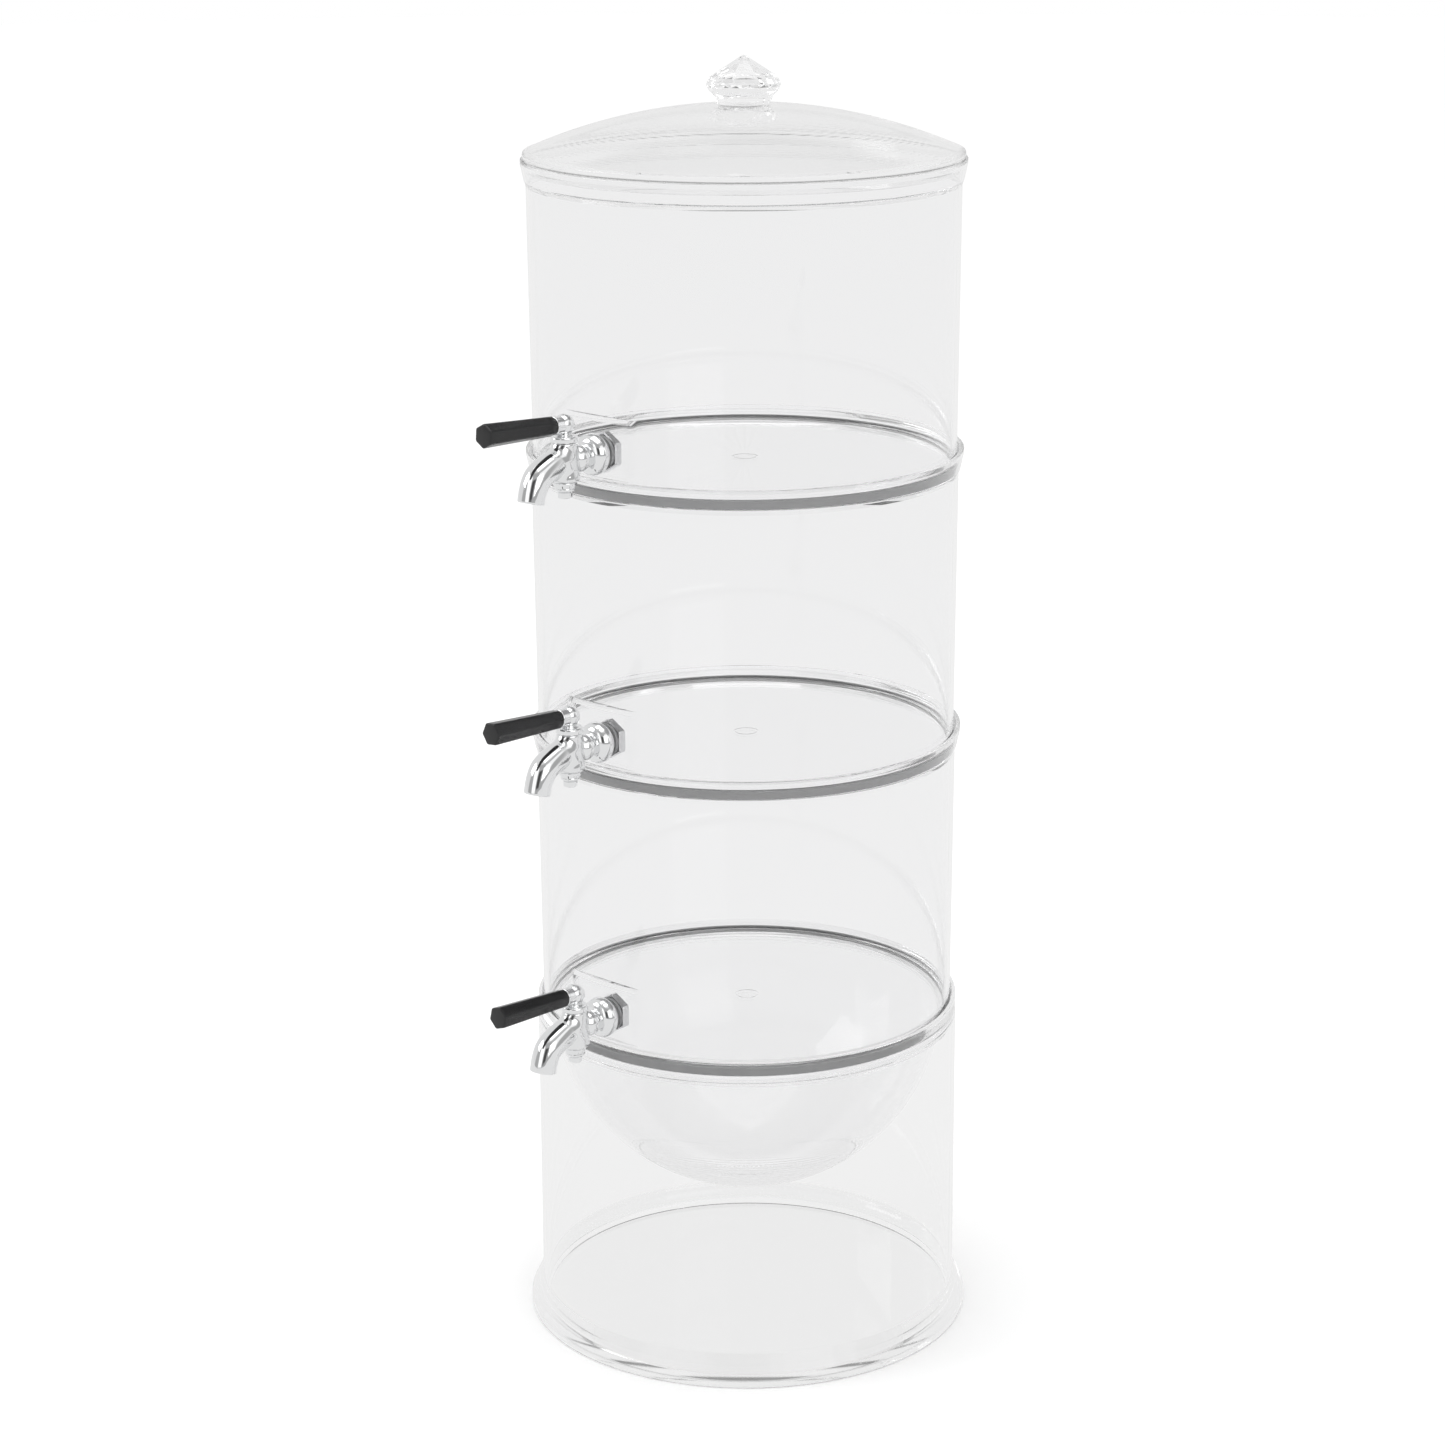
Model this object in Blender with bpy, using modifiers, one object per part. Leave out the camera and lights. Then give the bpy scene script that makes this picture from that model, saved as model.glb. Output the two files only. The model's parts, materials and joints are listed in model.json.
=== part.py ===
"""Tiered beverage dispenser.

Three clear drink tanks stand on one another over a clear base with a hanging ice bowl. Each tank has a
chrome tap, pointing along -Y, whose black lever turns a valve plug. A domed lid with a cut knob closes the
top tank. Metres, +Z up; the origin is on the tanks' axis, at the flat underside of the base.
"""
import math

import bmesh
import bpy
from mathutils import Matrix, Vector

# Fits and counts
GAP = 0.0003  # between two pieces that touch
SLIP = 0.0006  # all round a piece that drops into another
OVERRUN = 0.004  # how far a cutter runs past what it cuts
MERGE = 0.00001
LARGE_SIDES = 40
SMALL_SIDES = 16
TRIM_SIDES = 12
SHARP_ANGLE = math.radians(32)
TIERS = ("lower", "middle", "upper")

# Tanks
TANK_RADIUS = 0.1476  # outside, just above the foot
TANK_DRAFT = 0.00135  # how much wider the wall is at the top
TANK_PITCH = 0.1995
TANK_WALL = 0.0032
TANK_FLOOR = 0.004
TANK_FLOOR_FILLET = 0.002
FOOT_STEP = 0.003  # how far the foot is set in from the wall
FOOT_HEIGHT = 0.0075
FOOT_SLANT = 0.003
NEST_DEPTH = 0.012  # how deep a tank stands in the mouth below it
MOUTH_TAPER = 0.0022
COLLAR_WALL = 0.0031
COLLAR_LIP = 0.0035  # the upright part of the collar's outside
COLLAR_FLARE = 0.0035  # how far below the seat the flare starts
EDGE_ROUND = 0.0008

# Seal rings round the tanks' feet
SEAL_THICKNESS = 0.002
SEAL_FOOT = 0.0012  # the part under the tank
SEAL_FOOT_WIDTH = 0.0016
SEAL_HEIGHT = 0.0065

# Flat pad that carries the tap
PAD_DEPTH = 0.0029
PAD_ABOVE_TAP = 0.0224
PAD_BELOW_TAP = 0.0159
TAP_HEIGHT = 0.0281  # the shank's axis above the tank's underside

# Base
BASE_HEIGHT = 0.2266
BASE_WALL = 0.003
BASE_INSET = 0.0005  # the base is this much smaller than the collars
BASE_FLOOR = 0.004
BASE_FILLET = 0.0006
FLANGE_OVERHANG = 0.0088
FLARE_HEIGHT = 0.0225
FLANGE_HEIGHT = 0.0045
FLANGE_ROUND = 0.003
FLARE_SLOPE = 27

# Ice bowl
BOWL_WALL = 0.003
BOWL_MARGIN = 0.007  # between the bowl and the base's wall
BOWL_CENTRE_RISE = 0.0085  # the sphere's centre above the seat
BOWL_SEAT = 0.0032  # thickness of the seat that rests on the base
BOWL_RIM_WALL = 0.0019
BOWL_NEST_DEPTH = 0.009
BOWL_RIB_DEPTH = 0.004
BOWL_RIB_WIDTH = 0.0026

# Lid and its knob
LID_INSET = 0.0015
LID_EDGE = 0.0046
LID_LEDGE = 0.0048  # width of the rim outside the dome
LID_SHOULDER = 0.0014
LID_RISE = 0.0293
LID_WALL = 0.003
LID_SKIRT_DEPTH = 0.0075
LID_SKIRT_WALL = 0.0024
KNOB_HEIGHT = 0.0325
KNOB_RADIUS = 0.0255
KNOB_NECK_RADIUS = 0.0182
KNOB_SIDES = 16
KNOB_PEG_RADIUS = 0.006
# Radius and height of the knob's outline, tip to neck, as shares of its radius and height
KNOB_OUTLINE_SHARES = (
    (0.07, 0.985),
    (0.91, 0.557),
    (1.0, 0.4),
    (0.933, 0.262),
    (0.76, 0.148),
    (0.76, 0.085),
)

# Tap: sizes along its shank from the pad's face, and up and down from the shank's axis
SHANK_RADIUS = 0.008
SHANK_BEYOND_NUT = 0.0035
SHANK_BORE = 0.0046
HOLE_CLEARANCE = 0.0004
GASKET_THICKNESS = 0.0024
GASKET_RADIUS = 0.0122
INNER_GASKET_THICKNESS = 0.002
INNER_GASKET_RADIUS = 0.0118
NUT_ACROSS_FLATS = 0.0247
NUT_THICKNESS = 0.006
ROSE_RADIUS = 0.01425  # the domed flange against the tank
ROSE_EDGE = 0.0019
ROSE_DOME = 0.0075
NECK_RADIUS = 0.0072
NECK_BULB_RADIUS = 0.0088  # the round swelling of the neck
NECK_BULB_REACH = 0.018
BARREL_REACH = 0.031  # from the pad to the barrel's axis
BARREL_RADIUS = 0.0103
BARREL_TOP = 0.0124
BARREL_BOTTOM = 0.0135
BARREL_FOOT_RADIUS = 0.0094
# Radius and height of the barrel's outline, top to bottom, as shares of its radius and of its height
BARREL_OUTLINE_SHARES = (
    (0.83, 1.0),
    (0.85, 0.95),
    (0.84, 0.7),
    (0.85, 0.5),
    (0.9, 0.3),
    (0.98, 0.14),
    (1.0, 0.07),
)
SPOUT_REACH = 0.0314  # from the barrel's axis to the outlet's centre
SPOUT_START_RISE = 0.0015
SPOUT_DROP = 0.0255
SPOUT_RADIUS = 0.0096
SPOUT_BORE = 0.006
SPOUT_SIDES = 12
# The spout's centre line as shares of its reach and of its drop, and its thickness as a share of its radius
SPOUT_PATH_SHARES = (
    (0.0, 0.0, 0.9),
    (0.3, 0.08, 0.95),
    (0.58, 0.225, 0.99),
    (0.77, 0.36, 1.0),
    (0.88, 0.535, 0.98),
    (0.955, 0.765, 0.96),
    (1.0, 1.0, 0.95),
)

# Valve plug and what holds it
PLUG_BORE = 0.006
PLUG_RUNNING_CLEARANCE = 0.0004
PLUG_PORT = 0.0036
PLUG_STEM_RADIUS = 0.0038
PLUG_STEM_LENGTH = 0.003
CUP_RADIUS = 0.0083
CUP_LENGTH = 0.0066
CUP_TAPER = 0.0016
SCREW_RADIUS = 0.0026
SCREW_LENGTH = 0.008  # in the plug
SCREW_HEAD_ACROSS_FLATS = 0.009
SCREW_HEAD_LENGTH = 0.0046

# Lever and grip
LEVER_DISC_RADIUS = 0.0094
LEVER_DISC_HEIGHT = 0.004
LEVER_NECK_RADIUS = 0.0056
LEVER_BALL_RADIUS = 0.0074
LEVER_BALL_HEIGHT = 0.0239  # the ball's centre above the shank's axis
LEVER_FERRULE_RADIUS = 0.0062  # the round collar between the ball and the grip
LEVER_FERRULE_LENGTH = 0.003
LEVER_ROD_RADIUS = 0.0028
LEVER_TILT = math.radians(2.4)
GRIP_LENGTH = 0.062
GRIP_NEAR_RADIUS = 0.0072  # to the hexagon's corners
GRIP_FAR_RADIUS = 0.0088
GRIP_EDGE = 0.0007
GRIP_BORE_SHARE = 0.72  # how much of the grip's length the rod fills

# Levels and radii worked out from the sizes above
foot_radius = TANK_RADIUS - FOOT_STEP
seal_inner = foot_radius + GAP
seal_outer = seal_inner + SEAL_THICKNESS
seat_drop = SEAL_FOOT + 2 * GAP  # the seat below the underside of what stands on it
mouth_bottom_radius = seal_outer + GAP
mouth_height = NEST_DEPTH + seat_drop
mouth_slope = MOUTH_TAPER / mouth_height
mouth_top_radius = mouth_bottom_radius + MOUTH_TAPER
collar_radius = mouth_top_radius + COLLAR_WALL
tank_height = TANK_PITCH + NEST_DEPTH
tank_seat = TANK_PITCH - seat_drop
tank_top_radius = TANK_RADIUS + TANK_DRAFT
base_radius = collar_radius - BASE_INSET
base_inner = base_radius - BASE_WALL
bowl_seat = BASE_HEIGHT + GAP + BOWL_SEAT
first_tank = bowl_seat + seat_drop
tank_levels = {tier: first_tank + index * TANK_PITCH for index, tier in enumerate(TIERS)}
lid_level = tank_levels[TIERS[-1]] + tank_height + GAP
pad_face = TANK_RADIUS - PAD_DEPTH
pad_back = pad_face - TANK_WALL
rose_back = GASKET_THICKNESS + 2 * GAP
nut_front = TANK_WALL + INNER_GASKET_THICKNESS + 3 * GAP  # inward from the pad's face
shank_end = nut_front + NUT_THICKNESS + SHANK_BEYOND_NUT
shank_hole = SHANK_RADIUS + HOLE_CLEARANCE
plug_radius = PLUG_BORE - PLUG_RUNNING_CLEARANCE
ferrule_end = LEVER_BALL_RADIUS + LEVER_FERRULE_LENGTH
grip_start = ferrule_end + GAP


for old in list(bpy.data.objects):
    bpy.data.objects.remove(old, do_unlink=True)

parts = bpy.data.collections.new("tiered_beverage_dispenser")
cutters = bpy.data.collections.new("cutters")
for collection in (parts, cutters):
    bpy.context.scene.collection.children.link(collection)


def finish(name, colour, roughness, metallic=0.0, transmission=0.0, ior=1.5):
    """A Principled material."""
    material = bpy.data.materials.new(name)
    material.use_nodes = True
    shader = material.node_tree.nodes["Principled BSDF"]
    shader.inputs["Base Color"].default_value = (*colour, 1.0)
    shader.inputs["Roughness"].default_value = roughness
    shader.inputs["Metallic"].default_value = metallic
    shader.inputs["Transmission Weight"].default_value = transmission
    shader.inputs["IOR"].default_value = ior
    return material


clear_acrylic = finish("clear_acrylic", (0.96, 0.97, 0.98), 0.03, transmission=1.0, ior=1.49)
cut_acrylic = finish("cut_acrylic", (0.98, 0.98, 1.0), 0.0, transmission=1.0, ior=1.49)
grey_silicone = finish("grey_silicone", (0.36, 0.37, 0.38), 0.55)
pale_silicone = finish("pale_silicone", (0.62, 0.63, 0.64), 0.5)
polished_chrome = finish("polished_chrome", (0.83, 0.84, 0.85), 0.06, metallic=1.0)
turned_steel = finish("turned_steel", (0.6, 0.6, 0.61), 0.25, metallic=1.0)
plug_brass = finish("plug_brass", (0.75, 0.62, 0.36), 0.3, metallic=1.0)
black_plastic = finish("black_plastic", (0.02, 0.02, 0.02), 0.35)


def add_object(name, mesh, collection=parts, material=None):
    """Puts a mesh in a collection as an object at the origin."""
    made = bpy.data.objects.new(name, mesh)
    collection.objects.link(made)
    if material:
        mesh.materials.clear()
        mesh.materials.append(material)
    return made


def as_cutter(made):
    """Hides a solid that only shapes other solids."""
    made.hide_render = True
    made.display_type = "WIRE"
    return made


def settle(made, turn=None):
    """Applies an object's modifiers to its mesh, turns the mesh, and shades it smooth between sharp edges."""
    evaluated = made.evaluated_get(bpy.context.evaluated_depsgraph_get())
    mesh = bpy.data.meshes.new_from_object(evaluated)
    mesh.name = made.name
    if turn:
        mesh.transform(turn)
    made.modifiers.clear()
    made.data = mesh
    mesh.shade_smooth()
    mesh.set_sharp_from_angle(angle=SHARP_ANGLE)
    return made


def turned(name, outline, sides, collection=parts, turn=None):
    """Turns an outline of (radius, height) round Z, down its outer side. Off the axis it makes a ring."""
    mesh = bpy.data.meshes.new(name)
    last = len(outline) - 1
    edges = [(index, index + 1) for index in range(last)]
    if outline[0][0] > 0 and outline[-1][0] > 0:
        edges.append((last, 0))
    mesh.from_pydata([(radius, 0, height) for radius, height in outline], edges, [])
    made = add_object(name, mesh, collection)
    screw = made.modifiers.new("Screw", "SCREW")
    screw.steps = sides
    screw.render_steps = sides
    screw.use_merge_vertices = True
    screw.merge_threshold = MERGE
    return settle(made, turn)


def arc(radius, height, size, start, end, steps):
    """Points on an arc round (radius, height), between two angles in degrees above the outward direction."""
    angles = [math.radians(start + (end - start) * step / steps) for step in range(steps + 1)]
    return [(radius + size * math.cos(angle), height + size * math.sin(angle)) for angle in angles]


def rod(name, radius, start, end, sides, collection=cutters, far_radius=None):
    """A cylinder, cone or prism between two points. A cutter is turned half a side, off the corners."""
    start, end = Vector(start), Vector(end)
    along = end - start
    end_radius = radius if far_radius is None else far_radius
    bpy.ops.mesh.primitive_cone_add(vertices=sides, radius1=radius, radius2=end_radius, depth=along.length)
    made = bpy.context.object
    made.name = name
    if collection == cutters:
        made.data.transform(Matrix.Rotation(math.pi / sides, 4, "Z"))
    made.data.transform(along.to_track_quat("Z", "Y").to_matrix().to_4x4())
    made.data.transform(Matrix.Translation((start + end) / 2))
    for old in list(made.users_collection):
        old.objects.unlink(made)
    collection.objects.link(made)
    return made


def block(name, low, high, collection=cutters):
    """A box between two corners."""
    low, high = Vector(low), Vector(high)
    bpy.ops.mesh.primitive_cube_add(size=1)
    made = bpy.context.object
    made.name = name
    made.data.transform(Matrix.Diagonal((*(high - low), 1)))
    made.data.transform(Matrix.Translation((low + high) / 2))
    for old in list(made.users_collection):
        old.objects.unlink(made)
    collection.objects.link(made)
    return made


def boolean(made, operation, others):
    """Adds a Boolean modifier for each of the other solids, which become cutters."""
    for other in others:
        modifier = made.modifiers.new(other.name, "BOOLEAN")
        modifier.operation = operation
        modifier.solver = "EXACT"
        modifier.object = as_cutter(other)


def bevel(made, width, segments=1):
    """Rounds the edges that are sharper than the shading angle."""
    modifier = made.modifiers.new("Bevel", "BEVEL")
    modifier.width = width
    modifier.segments = segments
    modifier.limit_method = "ANGLE"
    modifier.angle_limit = SHARP_ANGLE


def take(made):
    """Takes the finished mesh out of a working object, and removes the object."""
    mesh = settle(made).data
    bpy.data.objects.remove(made, do_unlink=True)
    return mesh


def empty(name, location, turn=0.0, parent=None):
    """An empty that carries pieces."""
    made = bpy.data.objects.new(name, None)
    parts.objects.link(made)
    made.location = location
    made.rotation_euler = (0, 0, turn)
    made.parent = parent
    return made


def place(name, mesh, material, parent=None, location=(0, 0, 0)):
    """Adds a piece that may share its mesh with its copies."""
    made = add_object(name, mesh, parts, material)
    made.parent = parent
    made.location = location
    return made


def wall_radius(height):
    """The tank wall's outer radius at a height above its underside."""
    return TANK_RADIUS + TANK_DRAFT * height / tank_seat


def tank_mesh():
    """A tank: stepped foot, drafted wall, flared collar with an inside seat, and the tap's pad and hole."""
    floor_inner = wall_radius(TANK_FLOOR) - TANK_WALL
    seat_inner = tank_top_radius - TANK_WALL
    flare_start = tank_seat - COLLAR_FLARE
    outline = [
        (0, TANK_FLOOR),
        *arc(floor_inner - TANK_FLOOR_FILLET, TANK_FLOOR + TANK_FLOOR_FILLET, TANK_FLOOR_FILLET, -90, 0, 2),
        (seat_inner, tank_seat),
        (mouth_bottom_radius, tank_seat),
        (mouth_top_radius, tank_height),
        (collar_radius - EDGE_ROUND, tank_height),
        (collar_radius, tank_height - EDGE_ROUND),
        (collar_radius, tank_height - COLLAR_LIP),
        (mouth_bottom_radius + COLLAR_WALL, tank_seat),
        (wall_radius(flare_start), flare_start),
        (TANK_RADIUS, FOOT_HEIGHT + FOOT_SLANT),
        (foot_radius, FOOT_HEIGHT),
        (foot_radius, EDGE_ROUND),
        (foot_radius - EDGE_ROUND, 0),
        (0, 0),
    ]
    tank = turned("tank", outline, LARGE_SIDES)
    pad_top = TAP_HEIGHT + PAD_ABOVE_TAP
    pad_bottom = TAP_HEIGHT - PAD_BELOW_TAP
    pad_half = math.sqrt(TANK_RADIUS**2 - pad_face**2)
    back_top = pad_top + TANK_WALL
    mid_wall = TANK_RADIUS - TANK_WALL / 2
    backing = turned(
        "pad_backing",
        [(0, back_top), (mid_wall, back_top), (mid_wall, pad_bottom), (0, pad_bottom)],
        LARGE_SIDES,
        cutters,
    )
    backing_side = block("backing_side", (-mid_wall, -TANK_RADIUS, 0), (mid_wall, -pad_back, tank_height))
    boolean(backing, "INTERSECT", [backing_side])
    settle(backing)
    face_cutter = block(
        "pad_cutter",
        (-pad_half - OVERRUN, -collar_radius, pad_bottom),
        (pad_half + OVERRUN, -pad_face, pad_top),
    )
    hole_cutter = rod(
        "shank_hole_cutter",
        shank_hole,
        (0, -pad_face - OVERRUN, TAP_HEIGHT),
        (0, -pad_back + OVERRUN, TAP_HEIGHT),
        SMALL_SIDES,
    )
    boolean(tank, "UNION", [backing])
    boolean(tank, "DIFFERENCE", [face_cutter, hole_cutter])
    return take(tank)


def seal_mesh():
    """The ring round a tank's foot, with a thin lip under it and an outside on the mouth's slope."""
    bottom = -SEAL_FOOT - GAP
    top = bottom + SEAL_HEIGHT
    outline = [
        (seal_inner, top),
        (seal_outer + mouth_slope * SEAL_HEIGHT, top),
        (seal_outer, bottom),
        (foot_radius - SEAL_FOOT_WIDTH, bottom),
        (foot_radius - SEAL_FOOT_WIDTH, -GAP),
        (seal_inner, -GAP),
    ]
    return take(turned("seal", outline, LARGE_SIDES))


def base_mesh():
    """The base: a cup with a flat closed floor, whose wall flares out to a rounded foot."""
    flange_radius = base_radius + FLANGE_OVERHANG
    outline = [
        (0, BASE_FLOOR),
        *arc(base_inner - BASE_FILLET, BASE_FLOOR + BASE_FILLET, BASE_FILLET, -90, 0, 1),
        (base_inner, BASE_HEIGHT),
        (base_radius, BASE_HEIGHT),
        (base_radius, FLARE_HEIGHT),
        *arc(flange_radius - FLANGE_ROUND, FLANGE_HEIGHT, FLANGE_ROUND, FLARE_SLOPE, 0, 2),
        (flange_radius, 2 * EDGE_ROUND),
        (flange_radius - 2 * EDGE_ROUND, 0),
        (0, 0),
    ]
    return take(turned("base", outline, LARGE_SIDES))


def bowl_mesh():
    """The ice bowl, from its seat's level: a hanging sphere, a seat, and a rim round a tank's foot."""
    outer = base_inner - BOWL_MARGIN
    inner = outer - BOWL_WALL
    inner_start = -math.degrees(math.asin(BOWL_CENTRE_RISE / inner))
    seat_underside = -BOWL_SEAT
    outer_start = -math.degrees(math.asin((BOWL_CENTRE_RISE + BOWL_SEAT) / outer))
    rim_top = seat_drop + BOWL_NEST_DEPTH
    rim_inner = mouth_bottom_radius + mouth_slope * rim_top
    rim_outer = rim_inner + BOWL_RIM_WALL + EDGE_ROUND
    rib_outer = base_inner - SLIP
    outline = [
        *arc(0, BOWL_CENTRE_RISE, inner, -90, inner_start, 7),
        (mouth_bottom_radius, 0),
        (rim_inner, rim_top),
        (rim_outer - EDGE_ROUND, rim_top),
        (rim_outer, rim_top - EDGE_ROUND),
        (rim_outer, seat_underside),
        (rib_outer, seat_underside),
        (rib_outer, seat_underside - BOWL_RIB_DEPTH),
        (rib_outer - BOWL_RIB_WIDTH, seat_underside - BOWL_RIB_DEPTH),
        (rib_outer - BOWL_RIB_WIDTH, seat_underside),
        *arc(0, BOWL_CENTRE_RISE, outer, outer_start, -90, 7),
    ]
    outline[0] = (0, outline[0][1])
    outline[-1] = (0, outline[-1][1])
    return take(turned("bowl", outline, LARGE_SIDES))


def dome_arc(radius, rise, top, steps):
    """A shallow dome from its middle out to a radius, as an arc that drops by the rise."""
    size = (radius**2 + rise**2) / (2 * rise)
    edge = math.degrees(math.asin(radius / size))
    return arc(0, top - size, size, 90, 90 - edge, steps)


def lid_mesh():
    """The lid, from its rim's underside: a dome, a rounded rim, and a skirt that drops into the mouth."""
    lid_radius = collar_radius - LID_INSET
    dome_radius = lid_radius - LID_LEDGE
    top = LID_EDGE + LID_SHOULDER + LID_RISE
    skirt_top_outer = mouth_top_radius - SLIP
    skirt_outer = skirt_top_outer - mouth_slope * (LID_SKIRT_DEPTH + GAP)
    under_radius = skirt_outer - LID_SKIRT_WALL
    under = dome_arc(under_radius, LID_RISE, top - LID_WALL, 4)
    peg_hole = KNOB_PEG_RADIUS + GAP
    dome = dome_arc(dome_radius, LID_RISE, top, 5)
    outline = [
        (peg_hole, top - LID_WALL),
        (peg_hole, top),
        *dome[1:],
        (dome_radius + LID_SHOULDER / 2, LID_EDGE + LID_SHOULDER / 2),
        (lid_radius - LID_SHOULDER, LID_EDGE),
        (lid_radius, LID_EDGE - LID_SHOULDER),
        (lid_radius, EDGE_ROUND),
        (lid_radius - EDGE_ROUND, 0),
        (skirt_top_outer, 0),
        (skirt_outer, -LID_SKIRT_DEPTH),
        (under_radius, -LID_SKIRT_DEPTH),
        *reversed(under[1:]),
    ]
    return take(turned("lid", outline, LARGE_SIDES))


def knob_mesh():
    """The cut knob: a point, a faceted girdle, a neck, and a peg that fills the lid's hole."""
    shares = KNOB_OUTLINE_SHARES
    peg_end = -LID_WALL - GAP
    outline = [
        (0, KNOB_HEIGHT),
        *[(KNOB_RADIUS * across, KNOB_HEIGHT * up) for across, up in shares],
        (KNOB_NECK_RADIUS, KNOB_HEIGHT * shares[-1][1]),
        (KNOB_NECK_RADIUS, 0),
        (KNOB_PEG_RADIUS, 0),
        (KNOB_PEG_RADIUS, peg_end),
        (0, peg_end),
    ]
    return take(turned("knob", outline, KNOB_SIDES))


def along_shank():
    """Turns a solid made round Z so that its +Z points out along the tap's shank, its local +X."""
    return Matrix.Rotation(math.pi / 2, 4, "Y")


def washer_mesh(name, inner, outer, low, high):
    """A flat ring round the shank, between two places along it."""
    outline = [(inner, high), (outer, high), (outer, low), (inner, low)]
    return take(turned(name, outline, TRIM_SIDES, turn=along_shank()))


def spout_points(steps=2):
    """The spout's centre line in the tap's frame, on one smooth curve through its shares. Each point's fourth
    value is the spout's thickness there, as a share."""
    points = [
        Vector((BARREL_REACH + SPOUT_REACH * out, 0, SPOUT_START_RISE - SPOUT_DROP * down, thickness))
        for out, down, thickness in SPOUT_PATH_SHARES
    ]
    padded = [2 * points[0] - points[1], *points, 2 * points[-1] - points[-2]]
    curve = []
    for before, start, end, after in zip(padded, padded[1:], padded[2:], padded[3:]):
        for step in range(steps):
            t = step / steps
            curve.append(
                0.5
                * (
                    2 * start
                    + (end - before) * t
                    + (2 * before - 5 * start + 4 * end - after) * t**2
                    + (3 * start - before - 3 * end + after) * t**3
                )
            )
    return [*curve, points[-1]]


def tube(name, points, radius, even=True):
    """A closed tube along points, made as a bevelled curve and turned into a welded mesh. It keeps one radius
    where it is even, and otherwise follows the points' shares."""
    curve = bpy.data.curves.new(name, "CURVE")
    curve.dimensions = "3D"
    curve.bevel_depth = radius
    curve.bevel_resolution = SPOUT_SIDES // 2 - 2
    curve.use_fill_caps = True
    spline = curve.splines.new("POLY")
    spline.points.add(len(points) - 1)
    for point, knot in zip(points, spline.points):
        knot.co = (*point.xyz, 1)
        knot.radius = 1 if even else point.w
    wire = bpy.data.objects.new(name, curve)
    cutters.objects.link(wire)
    evaluated = wire.evaluated_get(bpy.context.evaluated_depsgraph_get())
    mesh = bpy.data.meshes.new_from_object(evaluated)
    welded = bmesh.new()
    welded.from_mesh(mesh)
    bmesh.ops.remove_doubles(welded, verts=welded.verts, dist=MERGE)
    welded.to_mesh(mesh)
    welded.free()
    made = add_object(name + "_solid", mesh, cutters)
    made.matrix_world = wire.matrix_world
    bpy.data.objects.remove(wire, do_unlink=True)
    return made


def tap_body_mesh():
    """The cast tap: shank, domed rose, swelled neck, an upright barrel and a swan-neck spout, all bored."""
    rose_top = rose_back + ROSE_EDGE + ROSE_DOME
    dome_width = ROSE_RADIUS - NECK_RADIUS
    dome = [
        (NECK_RADIUS + dome_width * math.cos(turn), rose_top - ROSE_DOME * (1 - math.sin(turn)))
        for turn in (math.radians(angle) for angle in (90, 65, 42, 20, 0))
    ]
    bulb_angle = math.degrees(math.acos(NECK_RADIUS / NECK_BULB_RADIUS))
    outline = [
        (0, BARREL_REACH),
        (NECK_RADIUS, BARREL_REACH),
        *arc(0, NECK_BULB_REACH, NECK_BULB_RADIUS, bulb_angle, -bulb_angle, 4),
        *dome,
        (ROSE_RADIUS, rose_back),
        (SHANK_RADIUS, rose_back),
        (SHANK_RADIUS, -shank_end + EDGE_ROUND),
        (SHANK_RADIUS - EDGE_ROUND, -shank_end),
        (0, -shank_end),
    ]
    body = turned("tap_body", outline, SMALL_SIDES, turn=along_shank())
    height = BARREL_TOP + BARREL_BOTTOM
    barrel_outline = [
        (0, BARREL_TOP),
        *[(BARREL_RADIUS * out, height * up - BARREL_BOTTOM) for out, up in BARREL_OUTLINE_SHARES],
        (BARREL_FOOT_RADIUS, -BARREL_BOTTOM),
        (0, -BARREL_BOTTOM),
    ]
    over_barrel = Matrix.Translation((BARREL_REACH, 0, 0))
    barrel = turned("barrel", barrel_outline, SMALL_SIDES, cutters, over_barrel)
    path = spout_points()
    spout = tube("spout", path, SPOUT_RADIUS, even=False)
    spout_end = path[-1].xyz
    outlet = spout_end + (spout_end - path[-2].xyz).normalized() * OVERRUN
    spout_bore = tube("spout_bore", [*spout_points(1), outlet], SPOUT_BORE)
    shank_bore = rod(
        "shank_bore", SHANK_BORE, (-shank_end - OVERRUN, 0, 0), (BARREL_REACH, 0, 0), SMALL_SIDES
    )
    barrel_bore = rod(
        "barrel_bore",
        PLUG_BORE,
        (BARREL_REACH, 0, -BARREL_BOTTOM - OVERRUN),
        (BARREL_REACH, 0, BARREL_TOP + OVERRUN),
        SMALL_SIDES,
    )
    boolean(body, "UNION", [barrel, spout])
    boolean(body, "DIFFERENCE", [barrel_bore, shank_bore, spout_bore])
    return take(body)


def nut_mesh():
    """The hexagonal nut on the shank, inside the tank."""
    corner = NUT_ACROSS_FLATS / math.sqrt(3)
    nut_back = nut_front + NUT_THICKNESS
    nut = rod("nut", corner, (-nut_back, 0, 0), (-nut_front, 0, 0), 6, parts)
    bore = rod(
        "nut_bore",
        shank_hole,
        (-nut_back - OVERRUN, 0, 0),
        (-nut_front + OVERRUN, 0, 0),
        SMALL_SIDES,
    )
    bevel(nut, EDGE_ROUND)
    boolean(nut, "DIFFERENCE", [bore])
    return take(nut)


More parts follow.
